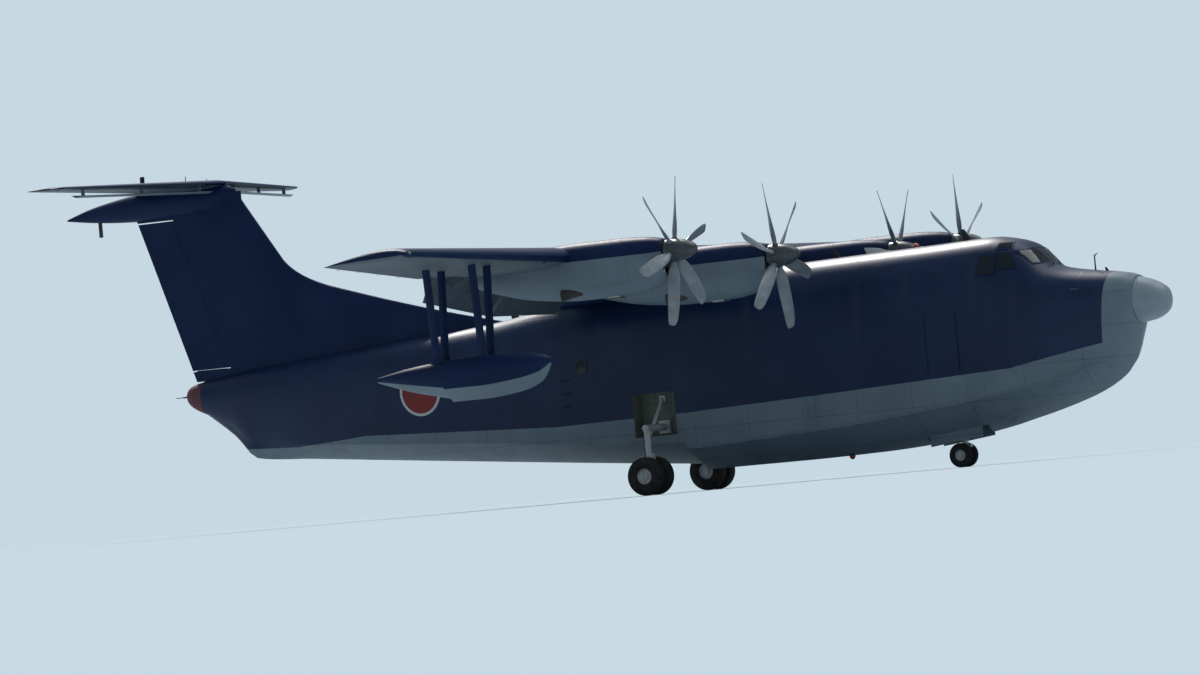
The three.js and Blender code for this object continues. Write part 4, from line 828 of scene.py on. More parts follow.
def buildEnds():
    radome = ringsMesh("noseRadome", ovalBody(endSettings["radome"], sections=22, bunching=1.8))
    addObject("noseRadome", radome, [radomePaint], "airframe", ["radome"])
    cone = ringsMesh("tailCone", ovalBody(endSettings["tailCone"], sections=14))
    addObject("tailCone", cone, [tailRedPaint], "airframe", ["tail_end"])
    bm = bmesh.new()
    up = endSettings["probeUp"]
    for front, rear, radius, radiusEnd in endSettings["probe"]:
        rodInto(bm, place(front, 0, up), place(rear, 0, up), radius, radiusEnd)
    addPiece("tailProbe", bm, 35, [darkTrim])


buildEnds()

paneSettings = dict(
    # panes in front view: half widths from and to, heights from and to
    front=[(0.035, 0.50, 4.55, 4.93), (0.545, 0.83, 4.55, 4.90)],
    # panes in side view: aft from and to at the sill, aft from and to at the head, heights
    side=[(3.84, 4.33, 3.98, 4.33, 4.47, 4.88), (4.4, 4.87, 4.4, 4.8, 4.36, 4.86)],
    eyebrow=[(4.02, 4.4, 4.06, 4.38, 5.0, 5.14)],
    thick=0.016, frameWide=0.03, frameThick=0.012, sunk=0.03, steps=9,
    slope=(2.6, 5.2),  # the windscreen's slope lies between these stations
    inside=(5.0, 0, 4.0),  # a place in the cockpit, to tell the skin's outer side
)
paneShares = np.linspace(0, 1, paneSettings["steps"]).tolist()


# How far aft the nose slope reaches a height, at a distance from the centre line.
def aftOnSlope(y, up):
    low, high = paneSettings["slope"]
    for _ in range(40):
        middle = (low + high) / 2
        reached = up <= hullShape(middle)[5] and hullHalfAt(middle, up) >= abs(y)
        low, high = (low, middle) if reached else (middle, high)
    return high


# A thin slab laid on the skin over a grid of its points, standing out a little.
def slabOnSkin(bm, grid, out):
    rows, columns = len(grid), len(grid[0])
    front, back = [], []
    for r in range(rows):
        front.append([])
        back.append([])
        for c in range(columns):
            along = grid[min(r + 1, rows - 1)][c] - grid[max(r - 1, 0)][c]
            across = grid[r][min(c + 1, columns - 1)] - grid[r][max(c - 1, 0)]
            normal = along.cross(across).normalized()
            if normal.dot(grid[r][c] - place(*paneSettings["inside"])) <= 0:
                normal = -normal
            front[r].append(grid[r][c] + normal * out)
            back[r].append(grid[r][c] - normal * paneSettings["sunk"])
    slabInto(bm, front, back)


def frontPane(pane, side, grow=0.0):
    yIn, yOut, low, high = pane
    grid = []
    for t in paneShares:
        up = low - grow + (high - low + 2 * grow) * t
        grid.append([])
        for share in paneShares:
            y = yIn - grow + (yOut - yIn + 2 * grow) * share
            grid[-1].append(place(aftOnSlope(y, up), side * y, up))
    return grid


def sidePane(pane, side, grow=0.0):
    frontLow, rearLow, frontHigh, rearHigh, low, high = pane
    grid = []
    for t in paneShares:
        up = low - grow + (high - low + 2 * grow) * t
        front = frontLow + (frontHigh - frontLow) * t - grow
        rear = rearLow + (rearHigh - rearLow) * t + grow
        stations = np.linspace(front, rear, paneSettings["steps"]).tolist()
        grid.append([place(aft, side * hullHalfAt(aft, up), up) for aft in stations])
    return grid


wiperSettings = dict(
    foot=(0.2, 4.49), head=(0.33, 4.86), headOff=(0.03, 0, 0.01),
    # from and to, off the foot or the head, with the radius and the number of sides
    pivot=((0.0, 0, 0.01), (0.035, 0, 0.03), 0.018, 12), arm=((0.03, 0, 0.02), 0.007, 8),
    blade=((0.06, 0.03, 0.24), (0, 0, 0.04), 0.006, 8),
)


def wiperInto(bm, side):
    s = wiperSettings
    foot, head = (place(aftOnSlope(*s[k]), side * s[k][0], s[k][1]) for k in ("foot", "head"))
    head += Vector(s["headOff"])
    low, high, radius, sides = s["pivot"]
    rodInto(bm, foot + Vector(low), foot + Vector(high), radius, sides=sides)
    low, radius, sides = s["arm"]
    rodInto(bm, foot + Vector(low), head, radius, sides=sides)
    (x, y, z), high, radius, sides = s["blade"]
    rodInto(bm, head - Vector((x, side * y, z)), head + Vector(high), radius, sides=sides)


def buildGlazing():
    glass, frames, wipers = bmesh.new(), bmesh.new(), bmesh.new()
    for side in (1, -1):
        for kind, gridOf in (("front", frontPane), ("side", sidePane), ("eyebrow", sidePane)):
            for pane in paneSettings[kind]:
                slabOnSkin(glass, gridOf(pane, side), paneSettings["thick"])
                wide = gridOf(pane, side, paneSettings["frameWide"])
                slabOnSkin(frames, wide, paneSettings["frameThick"])
        wiperInto(wipers, side)
    addPiece("cockpitPanes", glass, 50, [cockpitGlass], "airframe", ["cockpit_glass"])
    addPiece("cockpitFrames", frames, 50, [navyPaint])
    addPiece("wipers", wipers, 40, [darkTrim])


buildGlazing()

windowSettings = dict(
    # aft, height, half length, half height
    places=[(16.7, 3.05, 0.13, 0.17)],
    # each ring's growth past the pane and height off the skin, from the pane outwards
    rings=[(0.0, 0.008), (0.0, 0.02), (0.04, 0.02), (0.05, -0.02)],
    steps=24, squareness=0.6, bulge=0.022,
)


# Rounded windows in the hull's sides, each a pane in a raised rim.
def buildHullWindows():
    s = windowSettings
    glass, rims = bmesh.new(), bmesh.new()
    turns = [2 * math.pi * k / s["steps"] for k in range(s["steps"])]
    for side in (1, -1):
        for aft, up, halfLong, halfHigh in s["places"]:
            rings = []
            for grow, out in s["rings"]:
                ring = []
                for turn in turns:
                    c, n = math.cos(turn), math.sin(turn)
                    a = aft + math.copysign(abs(c) ** s["squareness"], c) * (halfLong + grow)
                    z = up + math.copysign(abs(n) ** s["squareness"], n) * (halfHigh + grow)
                    ring.append(place(a, side * (hullHalfAt(a, z) + out), z))
                rings.append(ring)
            pane = [glass.verts.new(p) for p in rings[0]]
            y = side * (hullHalfAt(aft, up) + s["bulge"])
            middle = glass.verts.new(place(aft, y, up))
            for a, b in zip(pane, pane[1:] + pane[:1]):
                glass.faces.new((a, b, middle))
            skinRings(rims, rings, caps=(False, False))
    addPiece("hullWindows", glass, 60, [cockpitGlass])
    addPiece("hullWindowRims", rims, 30, [darkTrim])


buildHullWindows()

doorSettings = dict(
    gap=0.016, depth=0.085, steps=12,
    # hinges: height above the sill, pivot out of the skin, and each barrel with its plate
    hinges=(0.35, 1.3), pivotOut=0.026, barrel=0.0165, barrelHalf=0.029,
    barrelPitch=0.0604, plate=(0.008, 0.07), plateIn=0.06, plateOut=0.006,
    # handles: up, and from and to off the door's rear edge and off its skin
    handleAt=2.6, handles=[((0.05, 0.0, 2.52), (0.19, 0.03, 2.56)),
        ((0.05, -0.115, 2.5), (0.22, -0.08, 2.56))], handleBevel=0.008,
    # stiffening bars across the inside
    barInset=0.04, barY=(-0.1, -0.075), barHalf=0.03, barBevel=0.006, barFromEnds=0.25,
)


# One hinge barrel and its plate. towards is 1 for the door's own and -1 for the hull's.
def doorHingeInto(bm, up, towards, colour=0):
    s, front = doorSettings, baySizes["door"]["front"]
    pivotY = hullHalfAt(front, baySizes["door"]["sill"] + baySizes["door"]["height"])
    pivotY += s["pivotOut"]
    low, high = up - s["barrelHalf"], up + s["barrelHalf"]
    rodInto(bm, place(front, pivotY, low), place(front, pivotY, high), s["barrel"], colour=colour)
    near, far = (front + towards * reach for reach in s["plate"])
    boxInto(bm, place(far, pivotY - s["plateIn"], low), place(near, pivotY + s["plateOut"], high),
        colour)


# A leaf in the hull's skin, with handles and stiffening bars.
def buildSideDoor():
    s, door = doorSettings, baySizes["door"]
    front, rear = door["front"] + s["gap"], door["front"] + door["width"] - s["gap"]
    low, high = door["sill"] + s["gap"], door["sill"] + door["height"] - s["gap"]
    skin = []
    for up in np.linspace(low, high, s["steps"]).tolist():
        stations = np.linspace(front, rear, s["steps"]).tolist()
        skin.append([place(aft, hullHalfAt(aft, up), up) for aft in stations])
    inside = [[point - Vector((0, s["depth"], 0)) for point in row] for row in skin]
    bm, fixed = bmesh.new(), bmesh.new()
    slabInto(bm, skin, inside, backColour=1)
    for height in s["hinges"]:
        doorHingeInto(bm, door["sill"] + height, 1, colour=2)
        for row in (-1, 1):
            doorHingeInto(fixed, door["sill"] + height + row * s["barrelPitch"], -1)
    y = hullHalfAt((front + rear) / 2, s["handleAt"])
    for (a, yLow, upLow), (b, yHigh, upHigh) in s["handles"]:
        boxInto(bm, place(rear - a, y + yLow, upLow), place(rear - b, y + yHigh, upHigh), 2,
            bevel=s["handleBevel"])
    for up in (low + s["barFromEnds"], (low + high) / 2, high - s["barFromEnds"]):
        boxInto(bm, place(rear - s["barInset"], y + s["barY"][0], up - s["barHalf"]),
            place(front + s["barInset"], y + s["barY"][1], up + s["barHalf"]), 1,
            bevel=s["barBevel"])
    # the door's inner face, edges and bars take the bay primer darkened as painted shade
    addPiece("sideDoor", bm, 35, [hullPaint, bayPaint, bareMetal], "side_door", ["side_door"])
    addPiece("doorHingeHalves", fixed, 35, [bareMetal])


buildSideDoor()
print("nose, glazing and doors made")

wingSettings = dict(
    root=5.1, tip=16.575, leading=12.3, tipSweep=0.65, rootChord=5.0,
    tipChord=2.39, rootThick=0.155, tipThick=0.135, camber=0.02,
    incidence=math.radians(3.2), trailing=[(0, 5.31), (5.1, 5.31), (10.0, 5.5), (16.575, 5.76)],
    gap=0.012, points=26, edgeHalf=0.0016, flapShare=0.254, flapDrop=math.radians(50),
    # the flaps' hinge line, in flap chords: ahead of the trailing edge, below it, and its radius
    flapHinge=(0.7, -0.28, 0.41), aileronShare=0.74,
)
hingeRadiusShare = 1.02  # a hinged surface's nose, against half the thickness at its hinge


# Chord, leading edge, trailing edge's height, and thickness at a distance out.
def wingAt(y):
    w = wingSettings
    out = max(0.0, (abs(y) - w["root"]) / (w["tip"] - w["root"]))
    chord = w["rootChord"] + (w["tipChord"] - w["rootChord"]) * out
    thick = w["rootThick"] + (w["tipThick"] - w["rootThick"]) * out
    return chord, w["leading"] + w["tipSweep"] * out, straightAt(w["trailing"], abs(y))[0], thick


# Half thickness of a plain wing section at a share of its chord.
def thicknessShape(x):
    return 5 * (0.2969 * math.sqrt(x) - 0.126 * x - 0.3516 * x ** 2 + 0.2843 * x ** 3
        - 0.1015 * x ** 4)


# Shares of a chord that bunch at both of its ends.
def bunchedShares(count):
    return [0.5 - 0.5 * math.cos(math.pi * i / (count - 1)) for i in range(count)]


def camberAt(share):
    return 4 * wingSettings["camber"] * share * (1 - share)


# A point of the wing as (metres aft of the nose, metres above the keel).
def wingPlane(y, share, height):
    chord, leading, trailing, _ = wingAt(y)
    forward, turn = chord * (1 - share), wingSettings["incidence"]
    return (leading + chord - forward * math.cos(turn) + height * math.sin(turn),
        trailing + forward * math.sin(turn) + height * math.cos(turn))


def halfThickness(thick, x, edgeHalf=wingSettings["edgeHalf"]):
    return thick * thicknessShape(x) + (edgeHalf if x > 0.999 else 0)


# Upper and lower lines of a section, each from the leading edge aft, as (aft, up) pairs.
def wingLines(y, thin=1.0):
    chord, _, _, thick = wingAt(y)
    lines = []
    for sign in (1, -1):
        line = []
        for x in bunchedShares(wingSettings["points"]):
            height = camberAt(x) + sign * halfThickness(thick * thin, x)
            line.append(wingPlane(y, x, height * chord))
        lines.append(line)
    return lines


# Points along a line at shares of its length.
def pointsAlong(line, shares):
    points = np.array(line)
    length = np.concatenate([[0], np.cumsum(np.hypot(*np.diff(points, axis=0).T))])
    return [(float(np.interp(s, length, points[:, 0])), float(np.interp(s, length, points[:, 1])))
        for s in length[-1] * shares]


# Where a line, going aft, first meets the circle or passes over the pivot.
def pointAtRadius(line, pivot, radius):
    for start, end in zip(line, line[1:]):
        for t in np.linspace(0, 1, 24):
            aft, up = start[0] + (end[0] - start[0]) * t, start[1] + (end[1] - start[1]) * t
            if math.hypot(aft - pivot[0], up - pivot[1]) <= radius or aft >= pivot[0]:
                return (aft, up)
    return line[-1]


arcSettings = dict(steps=14, cornerReach=0.2)  # the reach is an angle in radians
linePoints, tailPoints = 22, 12


# Round the front of a pivot, from the upper line's end to the lower one's.
def arcBetween(pivot, start, end, radius, stretch=1.0):
    a0 = math.atan2(start[1] - pivot[1], start[0] - pivot[0])
    a1 = math.atan2(end[1] - pivot[1], end[0] - pivot[0])
    a1 += 2 * math.pi if a1 < a0 else 0
    points = []
    for k in range(arcSettings["steps"]):
        a = a0 + (a1 - a0) * k / (arcSettings["steps"] - 1)
        reach = radius
        for at, corner in ((a0, start), (a1, end)):
            near = max(0.0, 1 - abs(a - at) / arcSettings["cornerReach"])
            reach += (math.hypot(corner[0] - pivot[0], corner[1] - pivot[1]) - radius) * near
        points.append((pivot[0] + reach * math.cos(a) * stretch, pivot[1] + reach * math.sin(a)))
    return points


# The fixed part of a section: upper lip, leading edge, lower lip, and the cove.
def fixedSection(lines, pivot, radius, stretch=1.0):
    ends = [pointAtRadius(line, pivot, radius) for line in lines]
    shares = 1 - np.cos(np.linspace(0, math.pi / 2, linePoints))  # bunched at the leading edge
    upper, lower = (pointsAlong([p for p in line if p[0] < end[0] - 1e-4] + [end], shares)
        for line, end in zip(lines, ends))
    cove = arcBetween(pivot, *ends, radius, stretch)
    return upper[::-1] + lower[1:] + cove[1:-1][::-1]


# The moving part: forward along the top, round the nose, and back below.
def movingSection(lines, pivot, radius, stretch=1.0):
    ends = [pointAtRadius(line, pivot, radius) for line in lines]
    shares = np.linspace(0, 1, tailPoints)
    upper, lower = (pointsAlong([end] + [p for p in line if p[0] > end[0] + 1e-4], shares)
        for line, end in zip(lines, ends))
    nose = arcBetween(pivot, *ends, radius, stretch)
    return upper[::-1] + nose[1:-1] + lower


def wholeSection(lines):
    upper, lower = lines
    return upper[::-1] + lower[1:]


def flapPivot(y):
    ahead, below, radius = wingSettings["flapHinge"]
    chord = wingSettings["flapShare"] * wingAt(y)[0]
    return wingPlane(y, 1 - wingSettings["flapShare"] * ahead, below * chord), radius * chord


def aileronPivot(y):
    chord, _, _, thick = wingAt(y)
    share = wingSettings["aileronShare"]
    radius = hingeRadiusShare * thick * thicknessShape(share) * chord
    return wingPlane(y, share, camberAt(share) * chord), radius


pivotOf = dict(flap=flapPivot, aileron=aileronPivot)
# along the half span: what the section is there, from and to
wingBays = dict(
    inner=[("whole", 0.0, 1.438), ("flap", 1.438, 5.032), ("whole", 5.032, 5.0998)],
    outer=[("whole", 5.1002, 5.218), ("flap", 5.218, 9.942), ("whole", 9.942, 10.068),
        ("aileron", 10.068, 16.212), ("whole", 16.212, 16.575)],
)
kinks = (5.1, 10.0)  # where the trailing edge or the taper changes
tipThin = {16.212: 1.0, 16.38: 0.93, 16.5: 0.76, 16.55: 0.58, 16.575: 0.36}


def wingBayRings(kind, start, end, side):
    atTip = end == wingSettings["tip"]
    ys = list(tipThin) if atTip else [start, *(y for y in kinks if start < y < end), end]
    rings = []
    for y in ys:
        lines = wingLines(y, tipThin.get(y, 1.0))
        if kind == "whole":
            section = wholeSection(lines)
        else:
            pivot, radius = pivotOf[kind](y)
            section = fixedSection(lines, pivot, radius + wingSettings["gap"])
        rings.append([place(a, side * y, up) for a, up in section])
    return rings


# A section's strips: navy above and round the leading edge, underside grey darkened as painted
# shade below, and a cove near black as painted shade.
def sectionColours(kind, upperPoints, wrap):
    def colourOf(ring, point):
        if point < upperPoints + wrap:
            return 0
        return 2 if kind != "whole" and point >= 2 * linePoints - 2 else 1
    return colourOf


def buildWing():
    for label, bays in wingBays.items():
        for word, side in bothSides:
            bm = bmesh.new()
            for kind, start, end in bays:
                whole = kind == "whole"
                strip = sectionColours(kind, wingSettings["points"] if whole else linePoints,
                    3 if whole else 4)
                # ends other than the tip are near black, as painted shade beside the hinged
                # surfaces
                skinRings(bm, wingBayRings(kind, start, end, side), strip=strip,
                    capColour=0 if end == wingSettings["tip"] else 2)
            splitLargeFaces(bm)
            nodes = [f"wing_outer_{word}"] if label == "outer" else ["wing_centre"][:side]
            addPiece(joined("wing", label, word), bm, 32,
                [navyPaint, wingUndersideShadePaint, darkTrim], "airframe", nodes)


def hingePoint(pivotAt, y):
    (aft, up), _ = pivotAt(y)
    return place(aft, y, up)


# A hinged surface and its mirror image, turned by its angle at rest.
def buildHinged(name, ys, linesAt, pivotAt, rest, below, navyArc, body):
    rings = []
    for y in ys:
        section = movingSection(linesAt(y), *pivotAt(y))
        rings.append([place(a, y, up) for a, up in section])
    mesh = ringsMesh(name, rings, 40, capColour=1,
        strip=lambda r, i: 0 if i < tailPoints + navyArc else 1)
    start, end = hingePoint(pivotAt, ys[0]), hingePoint(pivotAt, ys[-1])
    turn = Matrix.Rotation(rest, 4, (end - start).normalized())
    mesh.transform(Matrix.Translation(start) @ turn @ Matrix.Translation(-start))
    addBothSides(name, mesh, [navyPaint, below], body, [body])


flapTable = [
    # name, stations, body and node, colour below: underside grey darkened as painted shade, deeper
    # on the outer flaps
    ("flapInner", [1.45, 3.2, 5.02], "flap_inner_SIDE", wingUndersideShadePaint),
    ("flapOuter", [5.23, 7.5, 9.93], "flap_outer_SIDE", deepShadeUndersidePaint),
]
flapNavyArc, plainNavyArc = arcSettings["steps"] - 3, arcSettings["steps"] // 2


def buildWingSurfaces():
    for name, ys, body, below in flapTable:
        buildHinged(name, ys, wingLines, flapPivot, -wingSettings["flapDrop"], below, flapNavyArc,
            body)
    # the ailerons' undersides take the shaded wing grey, as painted shade
    buildHinged("aileron", [10.08, 13.0, 16.2], wingLines, aileronPivot, 0.0, wingUndersideShadePaint,
        plainNavyArc, "aileron_SIDE")


buildWing()
buildWingSurfaces()

flapArmSettings = dict(
    # where the arms stand, as shares of each flap's length
    inner=(0.12, 0.88), outer=(0.1, 0.5, 0.9), half=0.02, boss=0.055, pin=0.018, pinHalf=0.06,
    # the fixed arm's outline: (metres, hinge radii) forward, then up. The raised flap passes
    # over its bend, and its root is in the wing.
    arm=[((0.0, 0.0), (-0.05, 0.0)), ((0.0, 0.8), (0.0, 0.12)), ((0.1, 1.0), (0.0, 0.26)),
        ((0.35, 1.0), (0.0, 0.56)), ((0.3, 1.0), (0.0, 0.74)), ((0.03, 1.0), (0.0, 0.62)),
        ((0.02, 1.0), (0.0, 0.37)), ((0.0, 0.7), (0.0, 0.29)), ((0.0, 0.0), (0.05, 0.0))],
    # the flap's lugs, beside the arm
    lug=[((0.05, 0.0), (0.0, 0.0)), ((0.0, 0.1), (0.0, 0.8)), ((0.0, -0.95), (0.0, 0.7)),
        ((-0.05, 0.0), (0.0, 0.0))], lugFrom=0.026, lugThick=0.018, lugBoss=0.052,
)


# An outline given in metres and hinge radii, as vectors off the hinge.
def armOutline(rows, radius):
    return [Vector((forward + forwardShare * radius, 0, up + upShare * radius))
        for (forward, forwardShare), (up, upShare) in rows]


# Hinge arms: a fixed bracket under the wing, and two lugs on the flap beside it.
def buildFlapArms():
    s = flapArmSettings
    for label, (_, ys, body, _) in zip(("inner", "outer"), flapTable):
        fixed, moving = bmesh.new(), bmesh.new()
        start, end = hingePoint(flapPivot, ys[0]), hingePoint(flapPivot, ys[-1])
        axis = (end - start).normalized()
        turn = Matrix.Rotation(-wingSettings["flapDrop"], 3, axis)
        for share in s[label]:
            pivot = start.lerp(end, share)
            radius = flapPivot(ys[0])[1] * (1 - share) + flapPivot(ys[-1])[1] * share
            rodInto(fixed, pivot - axis * s["half"], pivot + axis * s["half"], s["boss"], sides=24)
            arm = armOutline(s["arm"], radius)
            skinRings(fixed, [[pivot + point + axis * offset for point in arm]
                for offset in (-s["half"], s["half"])])
            lug = [turn @ point for point in armOutline(s["lug"], radius)]
            for side in (-1, 1):
                near, far = s["lugFrom"], s["lugFrom"] + s["lugThick"]
                rodInto(moving, pivot + axis * side * near, pivot + axis * side * far,
                    s["lugBoss"], sides=24)
                skinRings(moving, [[pivot + point + axis * side * offset for point in lug]
                    for offset in (near, far)])
            rodInto(moving, pivot - axis * s["pinHalf"], pivot + axis * s["pinHalf"], s["pin"],
                sides=16)
        # the brackets and lugs take the deeper painted shade of the underside grey
        for name, bm, owner in (("flapBrackets", fixed, "airframe"), ("flapLugs", moving, body)):
            splitLargeFaces(bm)
            addBothSides(joined(name, label), finishMesh(bm, name, 35), [deepShadeUndersidePaint],
                owner)


buildFlapArms()

saddleTable = [
    # aft, half width, top, bottom
    (11.5, 0.25, 5.26, 4.9), (12.3, 0.76, 5.64, 4.8), (13.5, 0.98, 5.5, 4.7),
    (15.5, 1.0, 5.48, 4.6), (17.3, 0.78, 5.3, 4.5), (18.4, 0.25, 4.98, 4.4),
]
addObject("wingSaddle", ringsMesh("wingSaddle", ovalBody(saddleTable, power=3.0, sections=26)),
    [navyPaint], "airframe", ["wing_saddle"])

wingLightSettings = dict(
    # where each lamp stands on the tip, and how it is drawn out along the chord
    y=16.4, share=0.12, ahead=0.2, out=16.44, up=0.02, stretch=(2.2, 1, 0.9),
    radius=0.05, height=0.075,
    wicks=(11.2, 12.6, 14.0, 15.4), wickIn=0.02, wickLong=0.16, wickDrop=0.01, wickRadius=0.004,
)


def buildWingLights():
    s = wingLightSettings
    for (word, side), lens in zip(bothSides, (redLens, greenLens)):
        aft, up = wingPlane(s["y"], s["share"], 0.0)
        bm = bmesh.new()
        lampInto(bm, (0, 0, 0), (0, side, 0), s["radius"], s["height"])
        bmesh.ops.scale(bm, vec=s["stretch"], verts=bm.verts)
        foot = place(aft - s["ahead"], side * s["out"], up + s["up"])
        bmesh.ops.translate(bm, vec=foot, verts=bm.verts)
        addPiece(joined("tipLamp", word), bm, 50, [lens, darkTrim])
        bm = bmesh.new()
        for y in s["wicks"]:
            aft, up = wingPlane(y, 1.0, 0.0)
            rodInto(bm, place(aft - s["wickIn"], side * y, up),
                place(aft + s["wickLong"], side * y, up - s["wickDrop"]), s["wickRadius"],
                sides=8)
        addPiece(joined("staticWicks", word), bm, 40, [darkTrim], "aileron_" + word)


buildWingLights()
print("wing made")

engineTable = [("inner", 3.62, 9.37, 5.35), ("outer", 8.56, 9.78, 5.57)]  # label, y, aft, up
bladePhases = {"inner_port": 30, "inner_starboard": -15, "outer_port": -5, "outer_starboard": 12}
nacelleTable = [
    # behind the hub, half width, and top and bottom off the hub's height
    (0.215, 0.35, 0.32, -0.66), (0.6, 0.44, 0.40, -0.88), (1.4, 0.54, 0.45, -1.01),
    (2.6, 0.58, 0.45, -1.03), (3.9, 0.56, 0.38, -0.93), (5.2, 0.43, 0.15, -0.64),
    (6.15, 0.18, -0.02, -0.27),
]
nacelleSettings = dict(
    power=2.4, points=44, tail=dict(inner=6.15, outer=5.66), navyFrom=0.3,
    lipStations=[0.215, 0.235, 0.27], evenFrom=0.34, evenStations=30,
    lipLong=0.055, lipDeep=0.025,
)
intakeSettings = dict(
    half=0.21, low=-0.57, high=-0.39, points=32, power=2.8,
    # the mouth's rings: behind the hub, and scale
    mouth=[(0.1, 1.25), (0.215, 1.12), (0.3, 1.0), (0.7, 0.9)],
    lipSteps=12, lipAft=0.222, lipOut=0.022, lipWide=0.13, lipTall=0.06,
    throatAft=0.5, throatHalf=0.97, throatTall=0.99,
)
exhaustSettings = dict(
    # low on each flank: behind the hub, out from its middle, and off its height
    start=(2.45, 0.36, -0.76), end=(3.08, 0.47, -0.86), squash=(0.75, 1.25), sides=24,
    # rings along the stub and back inside it: share of the way, radius
    rings=[(0.0, 0.1), (0.55, 0.115), (1.0, 0.12), (1.0, 0.1), (0.6, 0.095)],
    # the cooler's outlet under the chin
    outlet=((1.95, -0.16, -1.06), (1.55, 0.16, -0.98)), outletBevel=0.02,
)


def nacelleRings(label, y, hubAft, hubUp):
    s = nacelleSettings
    columns = columnsOf(nacelleTable)
    even = np.linspace(s["evenFrom"], s["tail"][label], s["evenStations"]).tolist()
    rings = []
    for behind in [*s["lipStations"], *even]:
        half, top, bottom = [column(behind) for column in columns]
        lip = max(0.0, 1 - (behind - s["lipStations"][0]) / s["lipLong"]) ** 2 * s["lipDeep"]
        rings.append(ovalRing(hubAft + behind, half - lip, hubUp + top - lip,
            hubUp + bottom + lip, y, s["points"], s["power"]))
    return rings


# A ring of the chin intake: its half width and its height scale on their own.
def intakeRing(hub, behind, wide, tall):
    s = intakeSettings
    y, hubAft, hubUp = hub
    middle, reach = hubUp + (s["low"] + s["high"]) / 2, (s["high"] - s["low"]) / 2 * tall
    return ovalRing(hubAft + behind, s["half"] * wide, middle + reach, middle - reach, y,
        s["points"], s["power"])


def intakeLipInto(bm, hub):
    s = intakeSettings
    rings = []
    for step in range(s["lipSteps"] + 1):
        share = step / s["lipSteps"]
        scale = 1.0 + s["lipWide"] * (1 - share)
        behind = s["lipAft"] - s["lipOut"] * math.sin(math.pi * share)
        rings.append(intakeRing(hub, behind, scale, scale + s["lipTall"]))
    rings.append(intakeRing(hub, s["throatAft"], s["throatHalf"], s["throatTall"]))
    skinRings(bm, rings, caps=(False, False))


# Exhaust stubs low on both flanks, and the cooler's outlet under the chin.
def exhaustsInto(bm, hub):
    s = exhaustSettings
    y, hubAft, hubUp = hub
    angles = np.linspace(0, 2 * math.pi, s["sides"], endpoint=False)
    wide, tall = s["squash"]
    for flank in (1, -1):
        start, end = (place(hubAft + behind, y + flank * out, hubUp + up)
            for behind, out, up in (s["start"], s["end"]))
        rings = []
        for share, radius in s["rings"]:
            centre = start.lerp(end, share)
            rings.append([centre + Vector((0, radius * wide * math.cos(a),
                radius * tall * math.sin(a))) for a in angles])
        skinRings(bm, rings, caps=(False, True), strip=lambda r, i: 1)
    low, high = (place(hubAft + behind, y + out, hubUp + up) for behind, out, up in s["outlet"])
    boxInto(bm, low, high, 1, bevel=s["outletBevel"])


def buildNacelle(label, word, hub):
    s = nacelleSettings
    y, hubAft, hubUp = hub

    def strip(ring, point):
        turn = 2 * math.pi * (point + 0.5) / s["points"]
        return 0 if math.sin(turn) > s["navyFrom"] else 1

    # the cowl's open ends, and the intake walls cut below, are near black as painted shade
    mesh = ringsMesh("nacelle", nacelleRings(label, y, hubAft, hubUp), 40, strip=strip,
        capColour=2)
    cowl = addObject(joined("nacelle", label, word), mesh, [navyPaint, greyPaint, darkTrim],
        "airframe", [f"nacelle_{label}_{word}"])
    bm = bmesh.new()
    skinRings(bm, [intakeRing(hub, behind, scale, scale)
        for behind, scale in intakeSettings["mouth"]])
    cutAway(cowl, cutterFrom(bm, darkTrim))
    bm = bmesh.new()
    intakeLipInto(bm, hub)
    exhaustsInto(bm, hub)
    splitLargeFaces(bm)
    addPiece(joined("intakeLip", label, word), bm, 38, [bareMetal, exhaustMetal])


propellerSettings = dict(
    # radius, chord, thickness, pitch in degrees, sweep back
    blade=[(0.2, 0.13, 0.12, 62, 0.0), (0.34, 0.15, 0.11, 58, 0.0), (0.5, 0.25, 0.075, 54, 0.0),
        (0.8, 0.33, 0.05, 43, 0.0), (1.2, 0.345, 0.034, 34, 0.0),
        (1.65, 0.32, 0.022, 28, 0.01), (1.85, 0.27, 0.016, 25, 0.03),
        (1.93, 0.2, 0.012, 24, 0.05), (1.95, 0.1, 0.006, 24, 0.06)],
    blades=6, stations=20, points=18, tailTaper=0.5,
    cuff=(0.24, 0.315, 0.088, 0.08),  # radius from and to, and its own radius at each end
    nose=0.66, back=0.19, radius=0.3, backShare=0.9, backLip=0.02,
    noseSteps=22, nosePower=2.2, sides=48,
)


